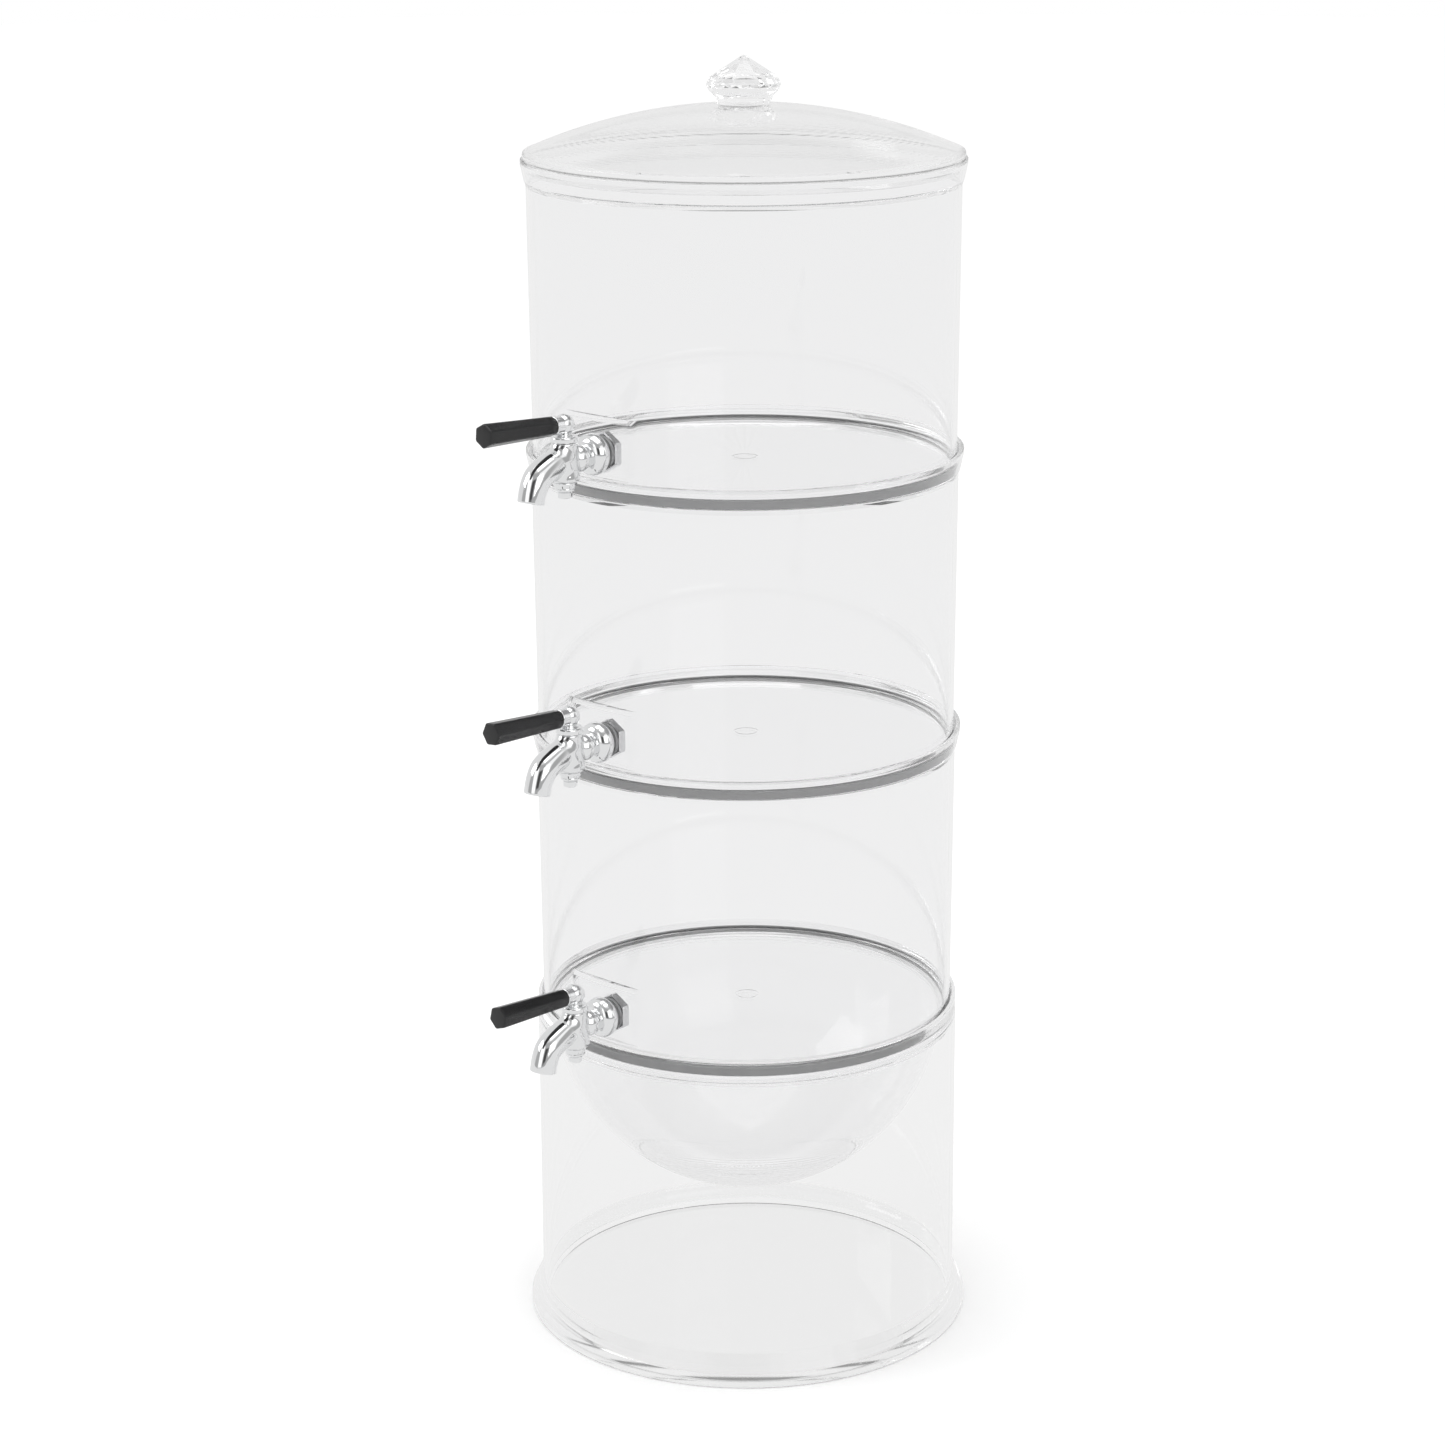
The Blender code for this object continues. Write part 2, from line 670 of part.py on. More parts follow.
def plug_mesh():
    """The valve plug, round the lever's axis: its port lies across the flow at rest, so the tap is shut."""
    plug_top = BARREL_TOP
    plug_bottom = -BARREL_BOTTOM
    outline = [
        (0, plug_top + PLUG_STEM_LENGTH),
        (PLUG_STEM_RADIUS, plug_top + PLUG_STEM_LENGTH),
        (PLUG_STEM_RADIUS, plug_top),
        (plug_radius, plug_top),
        (plug_radius, plug_bottom),
        (SCREW_RADIUS + GAP, plug_bottom),
        (SCREW_RADIUS + GAP, plug_bottom + SCREW_LENGTH + GAP),
        (0, plug_bottom + SCREW_LENGTH + GAP),
    ]
    plug = turned("plug", outline, SMALL_SIDES)
    reach = plug_radius + OVERRUN
    port = rod("plug_port", PLUG_PORT, (0, -reach, 0), (0, reach, 0), SMALL_SIDES)
    boolean(plug, "DIFFERENCE", [port])
    return take(plug)


def cup_mesh():
    """The cup washer that closes the barrel's foot."""
    top = -BARREL_BOTTOM - GAP
    outline = [
        (SCREW_RADIUS + GAP, top),
        (CUP_RADIUS, top),
        (CUP_RADIUS, top - CUP_LENGTH + 2 * CUP_TAPER),
        (CUP_RADIUS - CUP_TAPER, top - CUP_LENGTH),
        (SCREW_RADIUS + GAP, top - CUP_LENGTH),
    ]
    return take(turned("cup", outline, TRIM_SIDES))


def screw_mesh():
    """The hexagon-head screw that holds the cup to the plug."""
    head_top = -BARREL_BOTTOM - CUP_LENGTH - 2 * GAP
    head = rod(
        "screw",
        SCREW_HEAD_ACROSS_FLATS / math.sqrt(3),
        (0, 0, head_top - SCREW_HEAD_LENGTH),
        (0, 0, head_top),
        6,
        parts,
    )
    shaft = rod(
        "screw_shaft",
        SCREW_RADIUS,
        (0, 0, head_top - SCREW_HEAD_LENGTH / 2),
        (0, 0, -BARREL_BOTTOM + SCREW_LENGTH),
        SMALL_SIDES // 2,
    )
    bevel(head, EDGE_ROUND)
    boolean(head, "UNION", [shaft])
    return take(head)


def grip_direction():
    """The direction of the grip from the ball."""
    return Vector((math.cos(LEVER_TILT), 0, math.sin(LEVER_TILT)))


def lever_mesh():
    """The lever's head round its axis: a disc on the barrel, a neck, a ball, a ferrule and the grip's rod."""
    disc_bottom = BARREL_TOP + GAP
    disc_top = disc_bottom + LEVER_DISC_HEIGHT
    socket_radius = PLUG_STEM_RADIUS + GAP
    socket_top = BARREL_TOP + PLUG_STEM_LENGTH + GAP
    neck_angle = -math.degrees(math.acos(LEVER_NECK_RADIUS / LEVER_BALL_RADIUS))
    ball = arc(0, LEVER_BALL_HEIGHT, LEVER_BALL_RADIUS, 90, neck_angle, 5)
    outline = [
        (0, ball[0][1]),
        *ball[1:],
        (LEVER_NECK_RADIUS, disc_top),
        (LEVER_DISC_RADIUS - EDGE_ROUND, disc_top),
        (LEVER_DISC_RADIUS, disc_top - EDGE_ROUND),
        (LEVER_DISC_RADIUS, disc_bottom + EDGE_ROUND),
        (LEVER_DISC_RADIUS - EDGE_ROUND, disc_bottom),
        (socket_radius, disc_bottom),
        (socket_radius, socket_top),
        (0, socket_top),
    ]
    lever = turned("lever", outline, SMALL_SIDES)
    centre = Vector((0, 0, LEVER_BALL_HEIGHT))
    rod_end = grip_start + GRIP_LENGTH * GRIP_BORE_SHARE - GAP
    rod_tip = centre + grip_direction() * rod_end
    inner_rod = rod("lever_rod", LEVER_ROD_RADIUS, centre, rod_tip, SMALL_SIDES // 2)
    ferrule_tip = centre + grip_direction() * ferrule_end
    ferrule = rod("ferrule", LEVER_FERRULE_RADIUS, centre, ferrule_tip, SMALL_SIDES)
    boolean(lever, "UNION", [ferrule, inner_rod])
    return take(lever)


def grip_mesh():
    """The hexagonal grip, wider at its free end, over the lever's rod."""
    centre = Vector((0, 0, LEVER_BALL_HEIGHT))
    along = grip_direction()
    near = centre + along * grip_start
    far = centre + along * (grip_start + GRIP_LENGTH)
    grip = rod("grip", GRIP_NEAR_RADIUS, near, far, 6, parts, GRIP_FAR_RADIUS)
    bore = rod(
        "grip_bore",
        LEVER_ROD_RADIUS + GAP,
        near - along * OVERRUN,
        near + along * GRIP_LENGTH * GRIP_BORE_SHARE,
        SMALL_SIDES // 2,
    )
    bevel(grip, GRIP_EDGE)
    boolean(grip, "DIFFERENCE", [bore])
    return take(grip)


def build_stack():
    """The base, the bowl, the tanks with their seals, and the lid with its knob."""
    place("base", base_mesh(), clear_acrylic)
    place("ice_bowl", bowl_mesh(), clear_acrylic, location=(0, 0, bowl_seat))
    tank = tank_mesh()
    seal = seal_mesh()
    for tier, level in tank_levels.items():
        place(tier + "_tank", tank, clear_acrylic, location=(0, 0, level))
        place(tier + "_seal_ring", seal, grey_silicone, location=(0, 0, level))
    place("lid", lid_mesh(), clear_acrylic, location=(0, 0, lid_level))
    knob_level = lid_level + LID_EDGE + LID_SHOULDER + LID_RISE + GAP
    place("lid_knob", knob_mesh(), cut_acrylic, location=(0, 0, knob_level))


def build_taps():
    """Three alike taps, each on an empty at its pad, with the turning pieces on the lever's axis."""
    still = {
        "tap_body": (tap_body_mesh(), polished_chrome),
        "outer_gasket": (
            washer_mesh("outer_gasket", shank_hole, GASKET_RADIUS, GAP, GAP + GASKET_THICKNESS),
            grey_silicone,
        ),
        "inner_gasket": (
            washer_mesh(
                "inner_gasket",
                shank_hole,
                INNER_GASKET_RADIUS,
                -TANK_WALL - GAP - INNER_GASKET_THICKNESS,
                -TANK_WALL - GAP,
            ),
            pale_silicone,
        ),
        "shank_nut": (nut_mesh(), turned_steel),
    }
    turning = {
        "valve_plug": (plug_mesh(), plug_brass),
        "cup_washer": (cup_mesh(), polished_chrome),
        "plug_screw": (screw_mesh(), polished_chrome),
        "tap_lever": (lever_mesh(), polished_chrome),
        "lever_grip": (grip_mesh(), black_plastic),
    }
    for tier, level in tank_levels.items():
        mount = empty(tier + "_tap_mount", (0, -pad_face, level + TAP_HEIGHT), -math.pi / 2)
        pivot = empty(tier + "_lever_pivot", (BARREL_REACH, 0, 0), parent=mount)
        for carrier, pieces in ((mount, still), (pivot, turning)):
            for piece, (mesh, material) in pieces.items():
                place(tier + "_" + piece, mesh, material, carrier)


build_stack()
build_taps()
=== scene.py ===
import json
import math

import bmesh
import bpy
import numpy as np
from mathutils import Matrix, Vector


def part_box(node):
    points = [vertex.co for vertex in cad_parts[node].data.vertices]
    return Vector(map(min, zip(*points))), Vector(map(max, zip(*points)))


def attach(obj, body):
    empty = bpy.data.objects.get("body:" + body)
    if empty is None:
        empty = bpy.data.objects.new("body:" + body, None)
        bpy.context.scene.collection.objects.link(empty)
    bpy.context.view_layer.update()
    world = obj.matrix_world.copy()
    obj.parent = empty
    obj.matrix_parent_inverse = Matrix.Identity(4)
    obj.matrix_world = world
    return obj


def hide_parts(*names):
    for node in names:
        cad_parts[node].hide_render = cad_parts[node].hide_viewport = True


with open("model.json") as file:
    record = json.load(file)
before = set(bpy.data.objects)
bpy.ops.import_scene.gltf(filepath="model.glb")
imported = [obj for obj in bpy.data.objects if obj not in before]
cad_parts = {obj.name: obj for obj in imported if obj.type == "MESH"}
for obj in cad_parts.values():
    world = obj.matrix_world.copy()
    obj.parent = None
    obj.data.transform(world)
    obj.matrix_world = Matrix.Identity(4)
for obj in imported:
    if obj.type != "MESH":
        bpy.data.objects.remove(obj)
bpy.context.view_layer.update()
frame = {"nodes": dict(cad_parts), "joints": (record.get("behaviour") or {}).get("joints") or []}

# Counts and small clearances
ROUND_SIDES = 240
SMALL_ROUND_SIDES = 72
GAP = 0.0003
MERGE = 1e-7
SHARP = math.radians(12)
CAST_SHARP = math.radians(50)
GRIP_SHARP = math.radians(40)
# Straight stretches longer than this get a point this close to both ends
LONG_STRETCH = 0.0015
STEADY_STEP = 0.0003

# Tanks, from their underside up
TIERS = ("lower", "middle", "upper")
TANK_RADIUS = 0.1476
TANK_DRAFT = 0.00135
TANK_WALL = 0.0032
TANK_FLOOR = 0.004
FLOOR_FILLET = 0.002
FOOT_STEP = 0.003
FOOT_HEIGHT = 0.0075
FOOT_SLANT = 0.003
NEST_DEPTH = 0.012
MOUTH_TAPER = 0.0022
COLLAR_LIP = 0.0035
COLLAR_FLARE = 0.0035
RIM_ROUND = 0.0007
MOULD_MARK_RADIUS = 0.0082
MOULD_MARK_DEPTH = 0.0001
MOULD_MARK_WIDTH = 0.0011
MOULD_MARK_POINTS = 13
# The clip of a row that stays round: it lies further out than any wall
NO_CLIP = 1.0

# Seal rings
SEAL_THICKNESS = 0.002
SEAL_FOOT = 0.0012
SEAL_FOOT_WIDTH = 0.0016
SEAL_HEIGHT = 0.0065
SEAL_ROUND = 0.0004

# Flat pad and hole for the tap
PAD_DEPTH = 0.0029
PAD_ABOVE_TAP = 0.0224
PAD_BELOW_TAP = 0.0159
SHANK_HOLE = 0.0084

# Base and ice bowl
BASE_INSET = 0.0005
BASE_WALL = 0.003
BASE_FLOOR = 0.004
BASE_FILLET = 0.0006
FLARE_HEIGHT = 0.0225
FLANGE_HEIGHT = 0.0045
FLANGE_ROUND = 0.003
FLARE_SLOPE = 27
BOWL_MARGIN = 0.007
BOWL_WALL = 0.003
BOWL_SEAT = 0.0032
BOWL_CENTRE_RISE = 0.0085
BOWL_POLE = 89
BOWL_NEST_DEPTH = 0.009
BOWL_RIB_DEPTH = 0.004
BOWL_RIB_WIDTH = 0.0026
SLIP = 0.0006

# Lid and knob
LID_EDGE = 0.0046
LID_LEDGE = 0.0048
LID_SHOULDER = 0.0014
LID_WALL = 0.003
LID_SKIRT_DEPTH = 0.0075
LID_SKIRT_WALL = 0.0024
# The dome's steps, and how many of its first points lie in the knob's hole
DOME_STEPS = 48
DOME_SKIP = 3
KNOB_FACETS = 16
KNOB_PEG = 0.006
# The knob's rings from its top down, as shares of its radius and its height, and a turn in facets
KNOB_RINGS = (
    (0.0, 1.0, 0.0),
    (0.1, 0.965, 0.0),
    (0.9, 0.56, 0.0),
    (0.985, 0.45, 0.5),
    (1.0, 0.385, 0.0),
    (0.955, 0.29, 0.5),
    (0.8, 0.175, 0.0),
    (0.76, 0.15, 0.0),
    (0.76, 0.085, 0.0),
    (0.71, 0.075, 0.0),
    (0.71, 0.0, 0.0),
)

# Tap, out from the pad and up from the shank's axis
SHANK_RADIUS = 0.008
SHANK_BORE = 0.0046
THREAD_PITCH = 0.0015
THREAD_DEPTH = 0.0006
ROSE_RADIUS = 0.01425
ROSE_BACK = 0.003
ROSE_EDGE = 0.0019
ROSE_DOME = 0.0075
NECK_RADIUS = 0.0072
BULB_RADIUS = 0.009
BULB_REACH = 0.018
BULB_DROP = 0.0006
BARREL_REACH = 0.031
BARREL_TOP = 0.0124
BARREL_BOTTOM = 0.0135
# The barrel's radius by height, from its bottom to its top
BARREL_HEIGHTS = (-0.0135, -0.0122, -0.0101, -0.0057, -0.0005, 0.005, 0.0111, 0.0124)
BARREL_RADII = (0.0097, 0.0103, 0.0101, 0.0093, 0.00876, 0.00865, 0.00876, 0.0085)
SPOUT_REACH = 0.0314
SPOUT_RISE = 0.0015
SPOUT_DROP = 0.0255
SPOUT_RADIUS = 0.0096
SPOUT_BORE = 0.006
# Steps between the spout's knots, and how many of the line's first points in the barrel are left out
SPOUT_STEPS = 8
SPOUT_SKIP = 5
SPOUT_END_ROOM = 1.3
PLUG_BORE = 0.006
CAST_BLEND = 0.0045
CAST_EDGE = 0.0009
CAST_CELL = 0.00065
# Rounds that move the casting's points onto its surface, how many of them even the points out first, and
# the share of its place that a point then keeps
CAST_ROUNDS = 6
CAST_EVEN_ROUNDS = 4
CAST_KEEP = 0.4
CAST_LEAST_SLOPE = 0.05
# The spout's centre line as shares of its reach and drop, and its thickness as a share of its radius
SPOUT_PATH_SHARES = (
    (0.0, 0.0, 0.9),
    (0.3, 0.08, 0.95),
    (0.58, 0.225, 0.99),
    (0.77, 0.36, 1.0),
    (0.88, 0.535, 0.98),
    (0.955, 0.765, 0.96),
    (1.0, 1.0, 0.95),
)
GASKET_THICKNESS = 0.0024
GASKET_RADIUS = 0.0122
INNER_GASKET_THICKNESS = 0.002
INNER_GASKET_RADIUS = 0.0118
NUT_THICKNESS = 0.006
SHANK_PAST_NUT = 0.0035
CUP_RADIUS = 0.0083
CUP_LENGTH = 0.0066
CUP_TAPER = 0.0016
SCREW_RADIUS = 0.0026

# Lever and grip
DISC_RADIUS = 0.0094
DISC_HEIGHT = 0.004
LEVER_NECK = 0.0056
LEVER_WAIST_DIP = 0.0003
LEVER_NECK_FLARE = 0.0012
BALL_RADIUS = 0.0073
BALL_HEIGHT = 0.0239
BALL_POLE = 86
FERRULE_RADIUS = 0.0062
FERRULE_END = 0.0104
FERRULE_ROUND = 0.0005
LEVER_TILT = math.radians(2.4)
GRIP_LENGTH = 0.062
GRIP_NEAR_RADIUS = 0.0072
GRIP_FAR_RADIUS = 0.0088
GRIP_CORNER_SHARE = 0.16
GRIP_CORNER_CUT = 0.35
GRIP_SIDES = 96
GRIP_ROWS = 9
GRIP_END_ROUND = 0.0011
GRIP_TURNS = {"lower": math.radians(18), "middle": math.radians(6), "upper": math.radians(28)}

# The photograph's camera, round the stack's axis
CAMERA_TURN = math.radians(42.68)
CAMERA_DISTANCE = 2.365
CAMERA_HEIGHT = 1.1227
CAMERA_PITCH = math.radians(16.07)
CAMERA_ROLL = 0.0037
CAMERA_LENS = 86.0
CAMERA_FILM = 36
CAMERA_SHIFT = -0.0138

# Clear acrylic
ACRYLIC_INDEX = 1.49
ACRYLIC_WAVES = 0.00002
REFLECTION_SHARE = 0.4
# Painted shade: the darker colour of acrylic along a shaded edge, and how softly that band ends
PAINTED_EDGE_SHADE = 0.35
PAINTED_EDGE_SHADE_BLUR = 0.0003

# Studio: the floor's paint and glow are for other rays and for the camera's
LIGHT_BOUNCES = 400
FLOOR_RADIUS = 12.0
FLOOR_DROP = 0.0002
FLOOR_PAINT = (0.05, 0.9)
FLOOR_GLOW = (0.82, 0.16)
SURROUND_TONE = 0.83
DIFFUSE_TONE = 0.95
RIM_TONE = 0.3
RIM_RISE = 0.55
RIM_BLUR = 0.05
FRONT_START = 0.12
FRONT_BLUR = 0.1
# Directions run from -1 to 1, so a window up to here has no upper end
PAST_ALL = 2
STUDIO_FRONT = (math.sin(CAMERA_TURN), -math.cos(CAMERA_TURN), 0)
STUDIO_SIDE = (math.cos(CAMERA_TURN), math.sin(CAMERA_TURN), 0)
# Panels and gaps by direction: measure, low, high, other measure, low, high, softness, tone
STUDIO_PANELS = (
    ("side", -2, 2, "up", -2, 0.85, 0.05, 0.45),
    ("side", -0.75, -0.35, "up", 0.0, 0.7, 0.05, 1.3),
    ("side", 0.3, 0.8, "up", 0.1, 0.75, 0.05, 1.1),
    ("side", -0.25, 0.1, "up", 0.05, 0.55, 0.04, 0.08),
)
# Square lamps: name, place, aim, size, power
LAMPS = (
    ("key_lamp", (-2.2, -2.6, 2.6), (0, 0, 0.5), 1.8, 30),
    ("fill_lamp", (3.0, -1.0, 1.8), (0, 0, 0.5), 2.0, 14),
    ("top_lamp", (0, 0, 3.2), (0, 0, 0), 2.2, 20),
)

# Levels and radii worked out from the frame and the sizes above
levels = {tier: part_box(tier + "_tank")[0].z for tier in TIERS}
tank_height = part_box("lower_tank")[1].z - levels["lower"]
collar_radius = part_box("lower_tank")[1].x
foot_radius = TANK_RADIUS - FOOT_STEP
seal_inner = foot_radius + GAP
seal_outer = seal_inner + SEAL_THICKNESS
seat_drop = SEAL_FOOT + 2 * GAP
mouth_bottom = seal_outer + GAP
mouth_top = mouth_bottom + MOUTH_TAPER
mouth_slope = MOUTH_TAPER / (NEST_DEPTH + seat_drop)
tank_seat = tank_height - NEST_DEPTH - seat_drop
pad_face = TANK_RADIUS - PAD_DEPTH
pad_back = pad_face - TANK_WALL
base_outer = collar_radius - BASE_INSET
base_inner = base_outer - BASE_WALL
taps = {
    joint["name"].split("_")[0]: np.array(joint["pos_m"]) + (0, BARREL_REACH, 0)
    for joint in frame["joints"]
    if joint["type"] == "hinge"
}


def arc(radius, height, size, start, end, steps):
    """Points on an arc round (radius, height), between two angles in degrees above the outward direction."""
    angles = np.radians(np.linspace(start, end, steps + 1))
    return np.stack([radius + size * np.cos(angles), height + size * np.sin(angles)], 1)


def outline(*stretches):
    """Joins points and arcs into one outline of (radius, height)."""
    return np.vstack([np.atleast_2d(np.array(stretch, float)) for stretch in stretches])


def catmull(points, steps):
    """A smooth curve through points: cubic pieces whose tangents are half the chord between neighbours."""
    points = np.array(points, float)
    padded = np.vstack([2 * points[0] - points[1], points, 2 * points[-1] - points[-2]])
    t = np.linspace(0, 1, steps, endpoint=False)[None, :, None]
    before, start, end, after = (padded[i : len(padded) - 3 + i][:, None] for i in range(4))
    curve = 0.5 * (
        2 * start
        + (end - before) * t
        + (2 * before - 5 * start + 4 * end - after) * t**2
        + (3 * start - before - 3 * end + after) * t**3
    )
    return np.vstack([curve.reshape(-1, points.shape[1]), points[-1:]])


def steadied(profile):
    """Adds a point close to both ends of each long straight stretch, so that smooth shading stays true
    between them. Further columns, such as a clip, are carried along."""
    rows = [profile[:1]]
    for start, end in zip(profile, profile[1:]):
        length = math.dist(start[:2], end[:2])
        if length > LONG_STRETCH:
            share = STEADY_STEP / length
            rows.append(start + (end - start) * np.array([[share], [1 - share]]))
        rows.append(end[None])
    return np.vstack(rows)


def turn_grid(profile, sides=ROUND_SIDES):
    """Rows of points: each outline point (radius, height) goes round Z, its radius times the cosine and the
    sine of the angle."""
    angles = np.linspace(0, 2 * math.pi, sides, endpoint=False)
    radius, height = profile[:, :1], profile[:, 1:2]
    x, y = radius * np.cos(angles), radius * np.sin(angles)
    return np.stack([x, y, np.broadcast_to(height, x.shape)], 2)


def grid_faces(rows, columns, wrap_rows=False):
    """Four-cornered faces between neighbouring rows, and between neighbouring columns all round, outward
    where the outline runs down its outer side."""
    row = np.arange(rows if wrap_rows else rows - 1)
    row, column = np.meshgrid(row, np.arange(columns), indexing="ij")
    below, beside = (row + 1) % rows, (column + 1) % columns
    corners = (
        row * columns + column,
        below * columns + column,
        below * columns + beside,
        row * columns + beside,
    )
    return np.stack(corners, -1).reshape(-1, 4)


def placed(name, data):
    """A new object of the scene with its data."""
    made = bpy.data.objects.new(name, data)
    bpy.context.scene.collection.objects.link(made)
    return made


def shade(mesh):
    """Smooth shading, broken at sharp edges."""
    mesh.shade_smooth()
    mesh.set_sharp_from_angle(angle=SHARP)


def paint(piece, material):
    """Gives a piece one material."""
    piece.data.materials.clear()
    piece.data.materials.append(material)


def make_piece(name, skins):
    """One mesh from (points, faces) pairs. Doubles are merged, so seams and poles are closed."""
    points = np.vstack([skin[0].reshape(-1, 3) for skin in skins])
    starts = np.cumsum([0] + [skin[0].reshape(-1, 3).shape[0] for skin in skins])
    faces = np.vstack([skin[1] + start for skin, start in zip(skins, starts)])
    mesh = bpy.data.meshes.new(name)
    mesh.from_pydata(points.tolist(), [], faces.tolist())
    built = bmesh.new()
    built.from_mesh(mesh)
    bmesh.ops.remove_doubles(built, verts=built.verts, dist=MERGE)
    built.to_mesh(mesh)
    built.free()
    shade(mesh)
    return placed(name, mesh)


def turned_skin(profile, sides=ROUND_SIDES):
    """A turned outline as points and faces: a ring if the outline is off the axis at both ends."""
    profile = steadied(profile)
    ring = profile[0, 0] > MERGE and profile[-1, 0] > MERGE
    grid = turn_grid(profile, sides)
    return grid, grid_faces(*grid.shape[:2], wrap_rows=ring)


def raised(skin, height):
    """The same skin, higher up."""
    return skin[0] + np.array([0, 0, height]), skin[1]


def dress(piece, material, body, slot, *nodes):
    """Gives a piece its material, the body that it rides on, and the nodes that it stands for. The slot is
    not used.
    """
    paint(piece, material)
    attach(piece, body)
    if nodes:
        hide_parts(*nodes)


# Materials


def new_material(name):
    """A new material, its Principled shader and its node tree."""
    material = bpy.data.materials.new(name)
    material.use_nodes = True
    tree = material.node_tree
    return material, tree.nodes["Principled BSDF"], tree


def node(tree, kind, inputs=None, **settings):
    """Adds a shader node with its settings and input values. An input value that is a socket is linked."""
    made = tree.nodes.new("ShaderNode" + kind)
    for name, value in settings.items():
        setattr(made, name, value)
    for name, value in (inputs or {}).items():
        if isinstance(value, bpy.types.NodeSocket):
            tree.links.new(value, made.inputs[name])
        else:
            made.inputs[name].default_value = value
    return made


def noise(tree, scale, detail=3.0, stretch=(1, 1, 1)):
    """Noise on Object coordinates, stretched along the axes."""
    place = node(tree, "TexCoord").outputs["Object"]
    mapped = node(tree, "Mapping", {"Vector": place, "Scale": stretch}).outputs["Vector"]
    return node(tree, "TexNoise", {"Vector": mapped, "Scale": scale, "Detail": detail}).outputs["Fac"]


def spread(tree, value, low, high):
    """Maps a value from about 0.3 to 0.7 onto a range."""
    ends = {"Value": value, "From Min": 0.3, "From Max": 0.7, "To Min": low, "To Max": high}
    return node(tree, "MapRange", ends).outputs["Result"]


def mix(tree, share, start, end):
    """A value that goes from the start to the end with the share."""
    inputs = {"Factor": share, "A": start, "B": end}
    return node(tree, "Mix", inputs, data_type="FLOAT").outputs["Result"]


def times(tree, a, b):
    """The product of two values."""
    return node(tree, "Math", {0: a, 1: b}, operation="MULTIPLY").outputs[0]


def ease(tree, value, start, end):
    """Smoothly from zero at the start to one at the end, which may be the lower of the two."""
    ends = {"Value": value, "From Min": start, "From Max": end}
    return node(tree, "MapRange", ends, interpolation_type="SMOOTHSTEP").outputs["Result"]


def window(tree, value, low, high, soft):
    """One between two values and zero outside, with soft edges."""
    return times(tree, ease(tree, value, low - soft, low + soft), ease(tree, value, high + soft, high - soft))


def two_tones(tree, shader, share, low, high):
    """The shader's colour, from one tone to another with the share."""
    ramp = node(tree, "ValToRGB", {"Fac": share})
    ramp.color_ramp.elements[0].color = (*low, 1)
    ramp.color_ramp.elements[1].color = (*high, 1)
    tree.links.new(ramp.outputs["Color"], shader.inputs["Base Color"])


def bump(tree, shader, height, distance):
    """Bump from a height between 0 and 1."""
    made = node(tree, "Bump", {"Height": height, "Distance": distance, "Strength": 1.0})
    tree.links.new(made.outputs["Normal"], shader.inputs["Normal"])


def acrylic(name, tint, waviness, edge=None):
    """Clear acrylic: polished, faintly grey, with the slow waviness of a moulded wall and a little haze.
    Between the two heights of an edge it is darker: painted shade, which draws a dark line along that edge."""
    material, shader, tree = new_material(name)
    shader.inputs["Base Color"].default_value = (*tint, 1)
    shader.inputs["Transmission Weight"].default_value = 1.0
    shader.inputs["IOR"].default_value = ACRYLIC_INDEX
    shader.inputs["Specular Tint"].default_value = (*[REFLECTION_SHARE] * 3, 1)
    haze = noise(tree, 35.0, 4.0, (1, 1, 0.3))
    tree.links.new(spread(tree, haze, 0.0, 0.018), shader.inputs["Roughness"])
    bump(tree, shader, noise(tree, 9.0, 1.0, (1, 1, 0.35)), waviness)
    # Painted shade: a darker band of colour between the edge's heights, standing in for the dark line that
    # light draws at a rim
    if edge:
        place = node(tree, "TexCoord").outputs["Object"]
        height = node(tree, "SeparateXYZ", {"Vector": place}).outputs["Z"]
        share = window(tree, height, *edge, PAINTED_EDGE_SHADE_BLUR)
        tree.links.new(mix(tree, share, tint[0], PAINTED_EDGE_SHADE), shader.inputs["Base Color"])
    return material


def chrome(name, colour, roughness, grain):
    """Plated metal: a bright mirror with faint polishing haze and a trace of the casting's waviness."""
    material, shader, tree = new_material(name)
    shader.inputs["Base Color"].default_value = (*colour, 1)
    shader.inputs["Metallic"].default_value = 1.0
    haze = noise(tree, 160.0, 4.0)
    tree.links.new(spread(tree, haze, roughness * 0.6, roughness * 1.5), shader.inputs["Roughness"])
    bump(tree, shader, noise(tree, 120.0, 2.0), grain)
    return material


def turned_metal(name, colour, roughness):
    """Machined metal, with fine rings round the shank's axis."""
    material, shader, tree = new_material(name)
    shader.inputs["Metallic"].default_value = 1.0
    rings = noise(tree, 900.0, 2.0, (1, 0.1, 1))
    two_tones(tree, shader, rings, [0.82 * c for c in colour], colour)
    tree.links.new(spread(tree, rings, roughness * 0.7, roughness * 1.3), shader.inputs["Roughness"])
    bump(tree, shader, rings, 0.00002)
    return material


def silicone(name, colour, roughness):
    """Matt silicone rubber with a fine grain and slight unevenness of tone."""
    material, shader, tree = new_material(name)
    two_tones(tree, shader, noise(tree, 60.0), [0.9 * c for c in colour], colour)
    shader.inputs["Roughness"].default_value = roughness
    bump(tree, shader, noise(tree, 1500.0, 2.0), 0.00003)
    return material


def grip_plastic(name, colour, roughness):
    """Black moulded plastic, satin, with a fine grain and faintly uneven gloss."""
    material, shader, tree = new_material(name)
    two_tones(tree, shader, noise(tree, 90.0, 4.0), colour, [1.15 * c for c in colour])
    gloss = noise(tree, 300.0)
    tree.links.new(spread(tree, gloss, roughness * 0.94, roughness * 1.06), shader.inputs["Roughness"])
    bump(tree, shader, noise(tree, 3000.0, 2.0), 0.000004)
    return material


